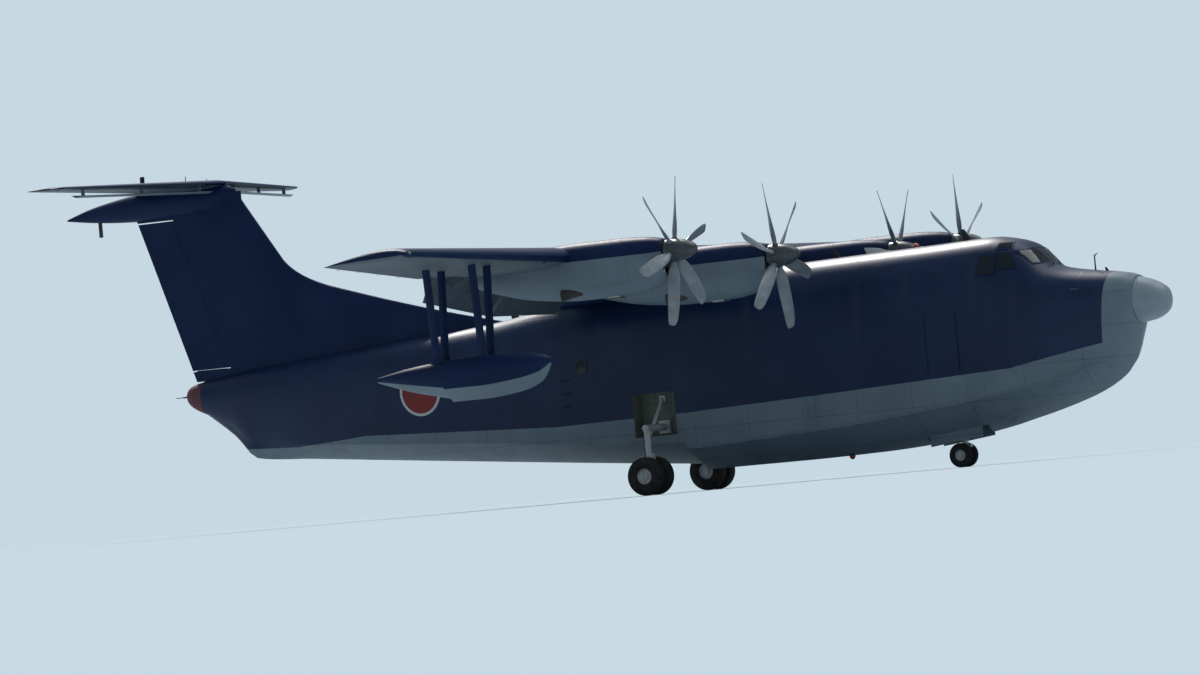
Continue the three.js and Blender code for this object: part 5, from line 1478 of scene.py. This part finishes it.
# Blades about the x axis, each on a cuff, and the spinner, with the hub at the middle.
def makePropeller():
    s = propellerSettings
    bm = bmesh.new()
    columns = columnsOf(s["blade"])
    first, last = s["blade"][0][0], s["blade"][-1][0]
    even = np.linspace(first, last, s["stations"]).tolist()
    angles = np.linspace(0, 2 * math.pi, s["points"], endpoint=False)
    outline = [(0.5 * math.cos(a), 0.5 * math.sin(a)) for a in angles]
    rings = []
    for radius in sorted({*(float(row[0]) for row in s["blade"]), *even}):
        chord, thick, pitch, sweep = [column(radius) for column in columns]
        turn = math.radians(pitch)
        ring = []
        for along, across in outline:
            taper = 1.0 if along > 0 else 1 - s["tailTaper"] * abs(along)
            run, width = along * chord - sweep, across * thick * taper
            forward = run * math.sin(turn) + width * math.cos(turn)
            ring.append(Vector((forward, width * math.sin(turn) - run * math.cos(turn), radius)))
        rings.append(ring)
    low, high, cuffRadius, cuffEnd = s["cuff"]
    for k in range(s["blades"]):
        spin = Matrix.Rotation(2 * math.pi * k / s["blades"], 3, "X")
        skinRings(bm, [[spin @ p for p in ring] for ring in rings])
        rodInto(bm, spin @ Vector((0, 0, low)), spin @ Vector((0, 0, high)), cuffRadius, cuffEnd,
            colour=1)
    start, radius = s["backLip"] - s["back"], s["radius"]
    profile = [(-s["back"], 0.0), (-s["back"], radius * s["backShare"]), (start, radius)]
    for t in np.linspace(0, 1, s["noseSteps"]):
        reach = radius * math.sqrt(max(0.0, 1 - t ** s["nosePower"]))
        profile.append((start + (s["nose"] - start) * t, reach))
    turnedInto(bm, profile, (0, 0, 0), (1, 0, 0), s["sides"], [1] * len(profile))
    weld(bm)
    splitLargeFaces(bm)
    return finishMesh(bm, "propeller", 38)


def repaintNode(name, material):
    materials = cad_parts[name].data.materials
    materials.clear()
    materials.append(material)


def buildPowerPlants():
    propeller = makePropeller()
    for label, y, hubAft, hubUp in engineTable:
        for word, side in bothSides:
            buildNacelle(label, word, (side * y, hubAft, hubUp))
            phase = -math.radians(bladePhases[f"{label}_{word}"])
            hub = Matrix.Translation(place(hubAft, side * y, hubUp))
            owner = f"propeller_{label}_{word}"
            addObject(joined("propeller", label, word), propeller, [bladePaint, spinnerPaint],
                owner, [owner], hub @ Matrix.Rotation(phase, 4, "X"))
            repaintNode(f"engine_{label}_{word}", bareMetal)


buildPowerPlants()
print("engines made")

finTable = [
    # up, leading edge, trailing edge, thickness share
    (3.6, 24.23, 29.44, 0.075), (6.79, 26.33, 30.475, 0.085), (8.61, 27.53, 31.07, 0.095),
]
dorsalTable = [
    # up, front edge
    (4.3, 18.6), (4.48, 19.5), (4.79, 20.8), (5.13, 22.1), (5.48, 23.32), (5.76, 24.23),
    (6.09, 25.25), (6.42, 25.9), (6.79, 26.33), (8.61, 27.53), (8.86, 27.69),
]
finSettings = dict(
    points=34, edgeHalf=0.003, low=[3.7, 3.85], high=[8.4, 8.61, 8.74, 8.86],
    cutFrom=4.3, cutStations=34,
    # the dorsal part: half thickness, swell from its front edge, and where it fades out
    dorsalHalf=0.21, dorsalShare=0.95, swell=1.6, swellTo=26.5, swellLeast=0.2,
    fadeTo=27.6, fadeLong=3.0, dorsalEnds=0.01,
)
rudderSettings = dict(
    start=(28.4, 4.19), end=(29.9, 8.57), low=4.02, top=8.23, gap=0.014,
    topGap=0.035, lowGap=0.03, heights=[4.6, 5.4, 6.2, 6.79, 7.5],
    # behind the hinge, half width and rise of the strip under the rudder, and its depth
    strip=[(0.02, 0.05, 0.008), (0.3, 0.03, 0.02), (1.1, 0.012, 0.023)], stripDeep=0.01,
)
dorsalAt = smoothThrough(*np.array(dorsalTable).T)


# A fin section in plan: its port and starboard lines, as (aft, y).
def finLines(up):
    s = finSettings
    lead, trail, thick = straightAt(finTable, up)
    chord = trail - lead
    start = min(dorsalAt(min(max(up, dorsalTable[0][0]), dorsalTable[-1][0])), lead)
    hasDorsal = start < lead - s["dorsalEnds"]
    lines = []
    for sign in (1, -1):
        line = []
        for t in bunchedShares(s["points"]):
            aft = start + (trail - start) * t
            x = (aft - lead) / chord
            half = thick * thicknessShape(min(max(x, 0.0), 1.0)) * chord
            half += s["edgeHalf"] if x > 0.999 else 0
            if hasDorsal:
                ahead = (aft - start) / max(s["swellTo"] - start, s["swellLeast"])
                swell = math.sqrt(max(0.0, min(ahead * s["swell"], 1.0)))
                fade = max(0.0, min(1.0, (s["fadeTo"] - aft) / s["fadeLong"]))
                half = max(half, s["dorsalHalf"] * swell * fade * s["dorsalShare"])
            line.append((aft, sign * half))
        lines.append(line)
    return lines


# A hinge's place, and its radius from the section's thickness there.
def hingeAcross(lead, trail, thick, aft, across):
    chord = trail - lead
    radius = hingeRadiusShare * thick * thicknessShape((aft - lead) / chord) * chord
    return (aft, across), radius


def rudderPivot(up):
    (a0, u0), (a1, u1) = rudderSettings["start"], rudderSettings["end"]
    aft = a0 + (a1 - a0) * (up - u0) / (u1 - u0)
    return hingeAcross(*straightAt(finTable, up), aft, 0.0)


# The strip that fills the fin's edge under the rudder.
def rudderStripInto(bm, low):
    rings = []
    for behind, half, rise in rudderSettings["strip"]:
        aft = rudderPivot(low)[0][0] + behind
        foot, head = low - rudderSettings["stripDeep"], low + rise
        rings.append([place(aft, y, up) for y, up in ((half, foot), (half, head), (-half, head),
            (-half, foot))])
    skinRings(bm, rings)


# The fin is whole below and above the rudder, and has a cove for it between.
def buildFin():
    s, f = rudderSettings, finSettings
    (a0, u0), (a1, u1) = s["start"], s["end"]
    stretch = 1 / math.cos(math.atan2(a1 - a0, u1 - u0))  # sections lie level, the hinge leans
    low, top = s["low"] - s["lowGap"], s["top"] + s["topGap"]
    bm = bmesh.new()
    for cut, heights in ((False, [*f["low"], low]),
            (True, [low, *np.linspace(f["cutFrom"], top, f["cutStations"]).tolist()]),
            (False, [top, *f["high"]])):
        rings = []
        for up in heights:
            section = wholeSection(finLines(up))
            if cut:
                pivot, radius = rudderPivot(up)
                section = fixedSection(finLines(up), pivot, radius + s["gap"], stretch)
            rings.append([place(a, y, up) for a, y in section])
        # the cove and the end caps are near black, as painted shade
        skinRings(bm, rings, capColour=1,
            strip=lambda r, i, c=cut: 1 if c and i >= 2 * linePoints - 2 else 0)
    rudderStripInto(bm, low)
    splitLargeFaces(bm)
    addPiece("finBody", bm, 32, [navyPaint, darkTrim], "airframe", ["fin"])
    rings = []
    for up in [s["low"], *s["heights"], s["top"]]:
        section = movingSection(finLines(up), *rudderPivot(up), stretch)
        rings.append([place(a, y, up) for a, y in section])
    addObject("rudderBlade", ringsMesh("rudderBlade", rings, 40), [navyPaint], "rudder",
        ["rudder"])


buildFin()

tailplaneTable = [
    # out from the middle, leading edge, trailing edge, thickness share
    (0.0, 27.97, 30.9, 0.09), (6.2, 29.36, 30.46, 0.1), (6.4, 29.56, 30.4, 0.05),
]
tailplaneSettings = dict(
    up=9.12, points=22, middle=3.4, tips=[6.2, 6.3, 6.37, 6.4],
    # a blade mast on top
    mast=((30.76, -0.014, 9.12), (30.62, 0.014, 9.555)), mastBevel=0.006,
)
elevatorSettings = dict(hingeAft=30.1, start=0.78, end=6.12, gap=0.012)


def tailplaneLines(y):
    lead, trail, thick = straightAt(tailplaneTable, abs(y))
    chord, up = trail - lead, tailplaneSettings["up"]
    return [[(lead + x * chord, up + sign * halfThickness(thick, x) * chord)
        for x in bunchedShares(tailplaneSettings["points"])] for sign in (1, -1)]


def elevatorPivot(y):
    return hingeAcross(*straightAt(tailplaneTable, abs(y)), elevatorSettings["hingeAft"],
        tailplaneSettings["up"])


def buildTailplane():
    s, e = tailplaneSettings, elevatorSettings
    first, last = e["start"] - e["gap"], e["end"] + e["gap"]
    bm = bmesh.new()
    for side in (1, -1):
        for kind, ys in (("whole", [0.0, first]), ("cut", [first, s["middle"], last]),
                ("whole", [last, *s["tips"]])):
            rings = []
            for y in ys:
                section = wholeSection(tailplaneLines(y))
                if kind == "cut":
                    pivot, radius = elevatorPivot(y)
                    section = fixedSection(tailplaneLines(y), pivot, radius + e["gap"])
                rings.append([place(a, side * y, up) for a, up in section])
            # undersides take grey darkened as painted shade; the cove and end caps are near black
            # as painted shade
            skinRings(bm, rings, capColour=2, strip=sectionColours(kind, s["points"], 1))
    low, high = s["mast"]
    boxInto(bm, place(*low), place(*high), bevel=s["mastBevel"])
    splitLargeFaces(bm)
    addPiece("tailplaneBody", bm, 32, [navyPaint, deepShadeUndersidePaint, darkTrim], "airframe",
        ["tailplane"])
    # the elevators' undersides take the same deeper painted shade
    buildHinged("elevator", [e["start"], s["middle"], e["end"]], tailplaneLines, elevatorPivot, 0.0,
        deepShadeUndersidePaint, plainNavyArc, "elevator_SIDE")


buildTailplane()

slatSettings = dict(
    stations=(0.62, 2.2, 4.0, 5.6), chord=0.33, ahead=0.06, below=0.25, points=12,
    # its section: height at the front, hollow, rise to the rear, and roundness, in chords
    front=0.08, hollow=0.078, rear=0.09, round=0.035, thick=0.1, edge=0.008, frontShare=0.05,
    posts=(0.9, 3.1, 5.3), postBack=0.09, postLong=0.11, postHalf=0.012,
    postTop=0.03, postBevel=0.005,
)


# A thin inverted wing ahead of the tailplane and under it, on posts.
def buildTailSlats():
    s = slatSettings
    upper = []
    for i in range(s["points"]):
        x = i / (s["points"] - 1)
        upper.append((x, s["front"] - s["hollow"] * math.sin(math.pi * x) + s["rear"] * x ** 2
            + s["round"] * math.sqrt(x) * (1 - x)))
    lower = []
    for x, z in upper:
        thick = s["thick"] * math.sin(math.pi * min(1, x + s["frontShare"]))
        lower.append((x, z - thick - s["edge"]))
    low = tailplaneSettings["up"] - s["below"]
    rings = []
    for y in s["stations"]:
        front = straightAt(tailplaneTable, y)[0] - s["ahead"]
        rings.append([place(front + x * s["chord"], y, low + z * s["chord"])
            for x, z in upper + lower[::-1]])
    bm = bmesh.new()
    skinRings(bm, rings)
    for y in s["posts"]:
        front = straightAt(tailplaneTable, y)[0] + s["postBack"]
        boxInto(bm, place(front + s["postLong"], y - s["postHalf"], low),
            place(front, y + s["postHalf"], tailplaneSettings["up"] - s["postTop"]),
            bevel=s["postBevel"])
    splitLargeFaces(bm)
    addBothSides("tailSlat", finishMesh(bm, "tailSlat", 35), [greyPaint], "airframe",
        ["tailplane_slat_SIDE"])


buildTailSlats()

bulletTable = [
    # aft, half width, top, bottom
    (27.7, 0.03, 8.93, 8.84), (27.92, 0.18, 9.04, 8.6), (28.4, 0.32, 9.14, 8.39),
    (29.3, 0.375, 9.18, 8.31), (30.4, 0.36, 9.14, 8.3), (31.4, 0.27, 9.02, 8.34),
    (32.4, 0.15, 8.84, 8.43), (33.25, 0.025, 8.6, 8.55),
]
humpTable = [
    (28.9, 0.03, 9.2, 9.1), (29.12, 0.15, 9.28, 9.04), (29.55, 0.2, 9.31, 9.04),
    (29.95, 0.15, 9.27, 9.04), (30.15, 0.03, 9.18, 9.1),
]
tailTopSettings = dict(
    blade=((32.25, -0.012, 8.0), (32.13, 0.012, 8.5)), bladeBevel=0.005,
    # rod aerials: foot, head, and the radius at each end
    rods=[((28.6, 0, 9.12), (28.6, 0, 9.3), 0.012, 0.008),
        ((29.3, 0, 9.2), (29.27, 0, 9.42), 0.016, 0.01)],
    beacon=((30.35, 0, 9.15), (0, 0, 1), 0.075, 0.1),
)


# The fairing where fin and tailplane cross, and the aerials, hump and beacon on it.
def buildTailTop():
    s = tailTopSettings
    addObject("tailFairing", ringsMesh("tailFairing", ovalBody(bulletTable, sections=40)),
        [navyPaint], "airframe", ["tail_fairing"])
    bm = bmesh.new()
    boxInto(bm, *(place(*corner) for corner in s["blade"]), bevel=s["bladeBevel"])
    for foot, head, radius, radiusEnd in s["rods"]:
        rodInto(bm, place(*foot), place(*head), radius, radiusEnd, sides=12)
    addPiece("tailMasts", bm, 35, [darkTrim])
    hump = ringsMesh("tailHump", ovalBody(humpTable, power=2.6, sections=16))
    addObject("tailHump", hump, [radomePaint])
    bm = bmesh.new()
    foot, axis, radius, height = s["beacon"]
    lampInto(bm, place(*foot), axis, radius, height)
    addPiece("tailBeacon", bm, 50, [redLens, darkTrim])


buildTailTop()
print("tail made")

floatTable = [
    # behind the float's nose, and then the same columns as the hull's
    (0.0, 2.93, 0.05, 2.98, 0.07, 3.06, 3.11), (0.25, 2.56, 0.24, 2.78, 0.26, 3.0, 3.22),
    (0.9, 2.33, 0.38, 2.64, 0.4, 2.96, 3.29), (2.0, 2.23, 0.43, 2.56, 0.45, 2.94, 3.31),
    (2.88, 2.23, 0.42, 2.56, 0.44, 2.94, 3.29), (2.92, 2.31, 0.41, 2.6, 0.435, 2.94, 3.288),
    (4.0, 2.56, 0.24, 2.76, 0.3, 2.94, 3.18), (5.0, 2.88, 0.02, 2.91, 0.05, 2.96, 3.01),
]
floatStepRow = 5  # the first row behind the float's step
floatSettings = dict(bottomSteps=5, sideSteps=4, topSteps=9, bottomPower=1.16,
    topPower=2.35, stationEvery=0.16, y=12.5, noseAft=11.45)
strutSettings = dict(
    # aft, and how far out of the float's middle the head and the foot are
    places=[(13.25, 0.4, 0.2), (13.25, -0.4, -0.2), (14.57, 0.4, 0.2), (14.57, -0.4, -0.2)],
    footUp=3.1, headShare=0.3,  # the head is in the wing at this share of its chord
    # one side of a strut's section: along and across
    section=[(-0.11, 0.0), (-0.085, 0.022), (-0.04, 0.034), (0.03, 0.031), (0.09, 0.012),
        (0.12, 0.0)],
    # the small shoe at a strut's foot: scale and height at each end, and its extra width
    shoe=((1.9, 3.2), (1.2, 3.36)), shoeWide=1.4,
)


def strutsInto(bm):
    s, middle = strutSettings, floatSettings["y"]
    ring = s["section"] + [(along, -across) for along, across in s["section"][-2:0:-1]]
    for aft, lean, foot in s["places"]:
        ends = [(foot, s["footUp"]), (lean, wingPlane(middle + lean, s["headShare"], 0.0)[1])]
        skinRings(bm, [[place(aft + along, middle + y + across, up) for along, across in ring]
            for y, up in ends])
        skinRings(bm, [[place(aft + along * scale,
            middle + foot + across * scale * s["shoeWide"], up)
            for along, across in ring] for scale, up in s["shoe"]])


def buildFloats():
    s = floatSettings
    rings = []
    for rows in (floatTable[:floatStepRow], floatTable[floatStepRow:]):
        columns = columnsOf(rows)
        for aft in stationsOf(rows, s["stationEvery"]):
            shape = [column(aft) for column in columns]
            rings.append(hullRing(aft, shape, s, s["y"], s["noseAft"]))
    below, count = s["bottomSteps"], len(rings[0])
    bm = bmesh.new()
    skinRings(bm, rings, strip=lambda r, i: 1 if i < below or i >= count - below else 0)
    strutsInto(bm)
    weld(bm, 2e-5)
    splitLargeFaces(bm)
    addBothSides("wingFloat", finishMesh(bm, "wingFloat", 26), [navyPaint, greyPaint], "airframe",
        ["float_SIDE"])


buildFloats()

mainWheel = dict(aft=14.6, y=1.78, pair=0.27, radius=0.508, width=0.34, rim=0.215,
    axle=0.06, grooves=(-0.075, -0.025, 0.025, 0.075), braked=True)
noseWheel = dict(aft=6.27, pair=0.175, radius=0.32, width=0.165, rim=0.15,
    axle=0.038, grooves=(-0.03, 0.03), braked=False)
acrossWheel = (0, 1, 0)
tyreSettings = dict(
    inside=0.0005,  # the tread stays this far inside the tyre's solid
    # a side wall: shares of the half width, shares of the depth from rim to tread, and metres
    wall=[(0.68, 0.0, 0.0), (0.8, 0.0, 0.012), (0.97, 0.25, 0.0), (1.0, 0.5, 0.0),
        (0.93, 0.75, 0.0), (0.76, 0.93, 0.0), (0.6, 1.0, -0.006)],
    grooveHalf=0.009, grooveFloor=0.006, grooveDeep=0.014, sides=64,
)
rimSettings = dict(
    inside=0.001, reach=0.34, lip=0.97, edge=0.01, hole=0.3, sides=48,
    # the dish in the outer face: metres deep, and radius in rims
    dish=[(0.0, 0.97), (0.02, 0.88), (0.05, 0.8), (0.06, 0.45), (0.02, 0.4), (0.015, 0.2),
        (0.012, 0.0)], bolts=9, boltRing=0.63, boltFoot=0.058, boltLong=0.014, boltRadius=0.055,
    # the brake at the inner face: metres off it, from and to, and radius in rims
    brake=(0.002, 0.05), brakeRadius=0.75, brakeCore=0.001, brakeSides=36,
    axleInside=0.0006, axleSides=24,
)


def wheelCentre(wheel, y):
    return Vector((halfLength - wheel["aft"], y, wheel["radius"]))


def tyreProfile(wheel):
    s = tyreSettings
    radius, half = wheel["radius"] - s["inside"], wheel["width"] / 2
    wall = [(-share * half, wheel["rim"] + depth * (radius - wheel["rim"]) + metres)
        for share, depth, metres in s["wall"]]
    tread = []
    for at in wheel["grooves"]:
        for off, deep in ((-s["grooveHalf"], 0.0), (-s["grooveFloor"], s["grooveDeep"]),
                (s["grooveFloor"], s["grooveDeep"]), (s["grooveHalf"], 0.0)):
            tread.append((at + off, radius - deep))
    return wall + tread + [(-x, r) for x, r in wall[::-1]]


def buildTyre(name, wheel, y, body, node):
    bm = bmesh.new()
    profile = tyreProfile(wheel)
    turnedInto(bm, profile + [profile[0]], wheelCentre(wheel, y), acrossWheel,
        tyreSettings["sides"])
    weld(bm)
    addPiece(name, bm, 45, [tyreRubber], body, [node])


# A pair of rims on their axle, with bolts in a dish outside and brakes inside.
def buildRims(name, wheel, yMiddle, body, node):
    s = rimSettings
    centre = wheelCentre(wheel, yMiddle)
    rim, reach = wheel["rim"] - s["inside"], s["reach"] * wheel["width"]
    bm = bmesh.new()
    for side in (1, -1):
        inner, outer = (side * wheel["pair"] + end * side * reach for end in (-1, 1))
        profile = [(inner, s["hole"] * rim), (inner, s["lip"] * rim),
            (inner + side * s["edge"], rim), (outer - side * s["edge"], rim)]
        profile += [(outer - side * deep, share * rim) for deep, share in s["dish"]]
        turnedInto(bm, profile, centre, acrossWheel, s["sides"])
        for k in range(s["bolts"]):
            turn = 2 * math.pi * k / s["bolts"]
            away = s["boltRing"] * rim
            spot = centre + Vector((math.cos(turn) * away, outer - side * s["boltFoot"],
                math.sin(turn) * away))
            rodInto(bm, spot, spot + Vector((0, side * s["boltLong"], 0)), s["boltRadius"] * rim,
                sides=6, colour=1)
        if wheel["braked"]:
            near, far = (inner - side * off for off in s["brake"])
            full, core = s["brakeRadius"] * rim, s["brakeCore"]
            turnedInto(bm, [(near, core), (near, full), (far, full), (far, core)], centre,
                acrossWheel, s["brakeSides"], [1] * 4)
    half = Vector((0, wheel["pair"], 0))
    rodInto(bm, centre - half, centre + half, wheel["axle"] - s["axleInside"],
        sides=s["axleSides"], colour=1)
    weld(bm)
    splitLargeFaces(bm)
    addPiece(name, bm, 35, [gearPaint, bareMetal], body, [node])


def buildWheels():
    for word, side in bothSides:
        body, middle = "main_wheels_" + word, side * mainWheel["y"]
        for label, offset in (("inner", -1), ("outer", 1)):
            buildTyre(joined("mainTyre", label, word), mainWheel,
                middle + side * offset * mainWheel["pair"], body, f"main_tyre_{label}_{word}")
        buildRims(joined("mainRims", word), mainWheel, middle, body, "main_axle_" + word)
        buildTyre(joined("noseTyre", word), noseWheel, side * noseWheel["pair"], "nose_wheels",
            "nose_tyre_" + word)
    buildRims("noseRims", noseWheel, 0.0, "nose_wheels", "nose_axle")


buildWheels()

gearSettings = dict(
    # collars on the main legs: metres above the axle, radius and thickness
    collars=[(0.4, 0.066, 0.03), (0.77, 0.1, 0.035), (1.04, 0.096, 0.02), (1.18, 0.096, 0.02)],
    # lines down a main leg: metres ahead of the axle and above it, and how far out each lies
    lines=[(-0.09, 0.18), (-0.11, 0.5), (-0.1, 0.95), (-0.12, 1.2)], lineOut=(-0.02, 0.03),
    lineRadius=0.01, lineSides=10, collarSides=28,
    # the nose leg stands ahead of its axle: its collars' heights, and its two lines
    noseAhead=0.06, noseCollars=(0.72, 1.0, 1.3), noseCollar=(0.116, 0.03),
    noseLine=((0.08, 0.78), (0.1, 1.65)), noseLineOut=0.07,
    # taxi lamps, as (ahead of the leg, up): shell and lens, with their radii
    lampOut=0.06, shell=((0.12, 1.12), (0.2, 1.1), 0.055, 0.06),
    lens=((0.195, 1.1), (0.203, 1.1), 0.054), lampSides=24,
)


# Rigid gear nodes keep their shape and take paint; collars, lines and lamps dress them.
def dressGear():
    s = gearSettings
    for node in ("main_leg_port", "main_leg_starboard", "nose_leg", "nose_fork"):
        repaintNode(node, gearPaint)
    for node in ("nose_bay_door_port", "nose_bay_door_starboard"):
        repaintNode(node, hullPaint)
    bm = bmesh.new()
    for side in (1, -1):
        axle = wheelCentre(mainWheel, side * mainWheel["y"])
        for height, radius, thick in s["collars"]:
            rodInto(bm, axle + Vector((0, 0, height)), axle + Vector((0, 0, height + thick)),
                radius, sides=s["collarSides"])
        for out in s["lineOut"]:
            points = [axle + Vector((ahead, out, up)) for ahead, up in s["lines"]]
            for a, b in zip(points, points[1:]):
                rodInto(bm, a, b, s["lineRadius"], sides=s["lineSides"], colour=1)
    strut = halfLength - (noseWheel["aft"] - s["noseAhead"])
    radius, thick = s["noseCollar"]
    for up in s["noseCollars"]:
        rodInto(bm, (strut, 0, up), (strut, 0, up + thick), radius, sides=s["collarSides"])
    for side in (1, -1):
        low, high = ((strut + ahead, side * s["noseLineOut"], up) for ahead, up in s["noseLine"])
        rodInto(bm, low, high, s["lineRadius"], sides=s["lineSides"], colour=1)
    addPiece("gearCollarsAndLines", bm, 35, [bareMetal, darkTrim])
    bm = bmesh.new()
    for side in (1, -1):
        for part, (back, front, *radii) in enumerate((s["shell"], s["lens"])):
            start, end = ((strut + ahead, side * s["lampOut"], up) for ahead, up in (back, front))
            rodInto(bm, start, end, *radii, sides=s["lampSides"], colour=part)
    addPiece("taxiLamps", bm, 35, [darkTrim, clearLens])


dressGear()
print("floats and landing gear made")

aerialSettings = dict(
    # the nose mast and its bent head: from, to, the radius at each end, and sides
    mast=[((2.05, 0, 4.2), (2.05, 0, 4.62), 0.022, 0.016, 14),
        ((2.05, 0, 4.6), (1.96, 0, 4.66), 0.02, 0.008, 12)],
    # blades on the spine: aft, height of the foot if it isn't the hull's top, height, length
    blades=[(1.72, None, 0.09, 0.1), (5.6, None, 0.3, 0.24), (9.4, None, 0.24, 0.24),
        (19.2, 4.5, 0.3, 0.28)],
    # a blade's section: lengths along, metres across
    section=[(-0.5, 0.0), (-0.2, 0.0225), (0.25, 0.0175), (0.5, 0.0), (0.25, -0.0175),
        (-0.2, -0.0225)],
    # its rings: share of the height, metres, and scale; and how far it leans back as it rises
    rings=[(0.0, -0.03, 1.0), (0.6, 0.0, 0.72), (1.0, 0.0, 0.5)], lean=0.45,
    # a bent probe on each side of the nose: aft, up, out and forward, with its radii
    probe=(2.3, 3.75), probeOut=0.12, probeBack=0.02, probeLong=0.22,
    probeRadii=(0.012, 0.011, 0.007), probeSides=10,
)
beaconSettings = dict(places=[((7.1, 0, 5.3), (0, 0, 1)), ((9.5, 0, 0.03), (0, 0, -1))],
    radius=0.085, height=0.1)
stepSettings = dict(
    # steps low on each side, near the rear door
    heights=(2.0, 2.35, 2.7), at=17.2, rear=17.36, front=17.1, half=0.02, bevel=0.008,
    # two thin upright strips on each side of the bow: aft from and to, heights, half thickness
    strips=[(6.5, 6.475), (5.6, 5.575)], stripAt=(5.9, 2.7), stripLow=1.95,
    stripHigh=3.5, stripHalf=0.012,
)


def buildAerials():
    s = aerialSettings
    bm = bmesh.new()
    for low, high, radius, radiusEnd, sides in s["mast"]:
        rodInto(bm, place(*low), place(*high), radius, radiusEnd, sides)
    for aft, foot, tall, long in s["blades"]:
        foot = hullShape(aft)[5] if foot is None else foot
        rings = []
        for share, metres, scale in s["rings"]:
            rise = share * tall + metres
            rings.append([place(aft + along * long * scale + rise * s["lean"], across, foot + rise)
                for along, across in s["section"]])
        skinRings(bm, rings)
    aft, up = s["probe"]
    thick, thin, end = s["probeRadii"]
    for side in (1, -1):
        base = place(aft, side * hullHalfAt(aft, up), up)
        bend = base + Vector((0, side * s["probeOut"], 0))
        rodInto(bm, base, bend, thick, sides=s["probeSides"])
        rodInto(bm, bend - Vector((s["probeBack"], 0, 0)), bend + Vector((s["probeLong"], 0, 0)),
            thin, end, s["probeSides"])
    splitLargeFaces(bm)
    addPiece("hullAerials", bm, 35, [darkTrim])


def buildHullTrim():
    buildAerials()
    bm = bmesh.new()
    for foot, axis in beaconSettings["places"]:
        lampInto(bm, place(*foot), axis, beaconSettings["radius"], beaconSettings["height"])
    addPiece("hullBeacons", bm, 50, [redLens, darkTrim])
    s = stepSettings
    bm = bmesh.new()
    for side in (1, -1):
        for up in s["heights"]:
            y = side * hullHalfAt(s["at"], up)
            boxInto(bm, place(s["rear"], y - s["half"], up - s["half"]),
                place(s["front"], y + s["half"], up + s["half"]), bevel=s["bevel"])
        y = side * hullHalfAt(*s["stripAt"])
        for rear, front in s["strips"]:
            boxInto(bm, place(rear, y - s["stripHalf"], s["stripLow"]),
                place(front, y + s["stripHalf"], s["stripHigh"]))
    addPiece("sideSteps", bm, 35, [navyPaint])


buildHullTrim()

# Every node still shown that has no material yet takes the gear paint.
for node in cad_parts.values():
    if not node.hide_render and not node.data.materials:
        node.data.materials.append(gearPaint)

stageSettings = dict(
    floorRadius=900, floorSides=96, floorColour=rgba(0.47, 0.555, 0.61),
    floorRoughness=0.95, floorSpecular=0.1,
    # the backdrop's strength as a light, and what the camera sees on top of that
    skyColour=rgba(0.58, 0.7, 0.78), skyLight=0.46, skySeen=0.52,
)


def buildStage():
    s = stageSettings
    bm = bmesh.new()
    bmesh.ops.create_circle(bm, cap_ends=True, segments=s["floorSides"], radius=s["floorRadius"])
    floor = bpy.data.objects.new("studioFloor", finishMesh(bm, "studioFloor", 30))
    bpy.context.scene.collection.objects.link(floor)
    material, _, shader = newMaterial("floorPale")
    shader.inputs["Base Color"].default_value = s["floorColour"]
    shader.inputs["Roughness"].default_value = s["floorRoughness"]
    shader.inputs["Specular IOR Level"].default_value = s["floorSpecular"]
    floor.data.materials.append(material)
    world = bpy.data.worlds.new("studioSky")
    bpy.context.scene.world = world
    world.use_nodes = True
    tree = world.node_tree
    path, background = tree.nodes.new("ShaderNodeLightPath"), tree.nodes["Background"]
    background.inputs["Color"].default_value = s["skyColour"]
    strength = addMath(tree, "MULTIPLY_ADD", path.outputs["Is Camera Ray"], s["skySeen"],
        s["skyLight"])
    tree.links.new(strength, background.inputs["Strength"])


sunTable = [
    # name, towards, strength, spread in degrees, tint
    ("highSun", (0.45, -0.55, -0.7), 2.75, 9, (1.0, 0.96, 0.92)),
    ("skyGlow", (-0.3, -0.3, -0.9), 1.1, 40, (0.97, 0.98, 1.0)),
]


def addSuns():
    for name, towards, strength, spread, tint in sunTable:
        light = bpy.data.lights.new(name, "SUN")
        light.energy, light.angle, light.color = strength, math.radians(spread), tint
        lamp = bpy.data.objects.new(name, light)
        lamp.rotation_mode = "QUATERNION"
        lamp.rotation_quaternion = Vector(towards).to_track_quat("-Z", "Y")
        bpy.context.scene.collection.objects.link(lamp)


cameraSettings = dict(target=(-0.083, 0.0, 4.346), azimuth=28.15, height=0.12,
    distance=180.0, frameWidth=32.27, noseUp=5.83, sensor=36, nearest=1, farthest=3000)


# A far camera at floor level, leaned so that the picture shows the boat nose up.
def placeCamera():
    s = cameraSettings
    azimuth, lean = math.radians(s["azimuth"]), math.radians(s["noseUp"])
    rise = math.asin((s["height"] - s["target"][2]) / s["distance"])
    back = Vector((math.sin(azimuth) * math.cos(rise), -math.cos(azimuth) * math.cos(rise),
        math.sin(rise)))
    data = bpy.data.cameras.new("photoCamera")
    data.sensor_width = s["sensor"]
    data.lens = s["sensor"] * s["distance"] / s["frameWidth"]
    data.clip_start, data.clip_end = s["nearest"], s["farthest"]
    camera = bpy.data.objects.new("photoCamera", data)
    bpy.context.scene.collection.objects.link(camera)
    right = Vector((math.sin(lean), 0, math.cos(lean))).cross(back).normalized()
    turn = Matrix((right, back.cross(right).normalized(), back)).transposed()
    spot = Vector(s["target"]) + back * s["distance"]
    camera.matrix_world = Matrix.Translation(spot) @ turn.to_4x4()
    bpy.context.scene.camera = camera


buildStage()
addSuns()
placeCamera()
bpy.context.scene.view_settings.view_transform = "Standard"
print("stage made")
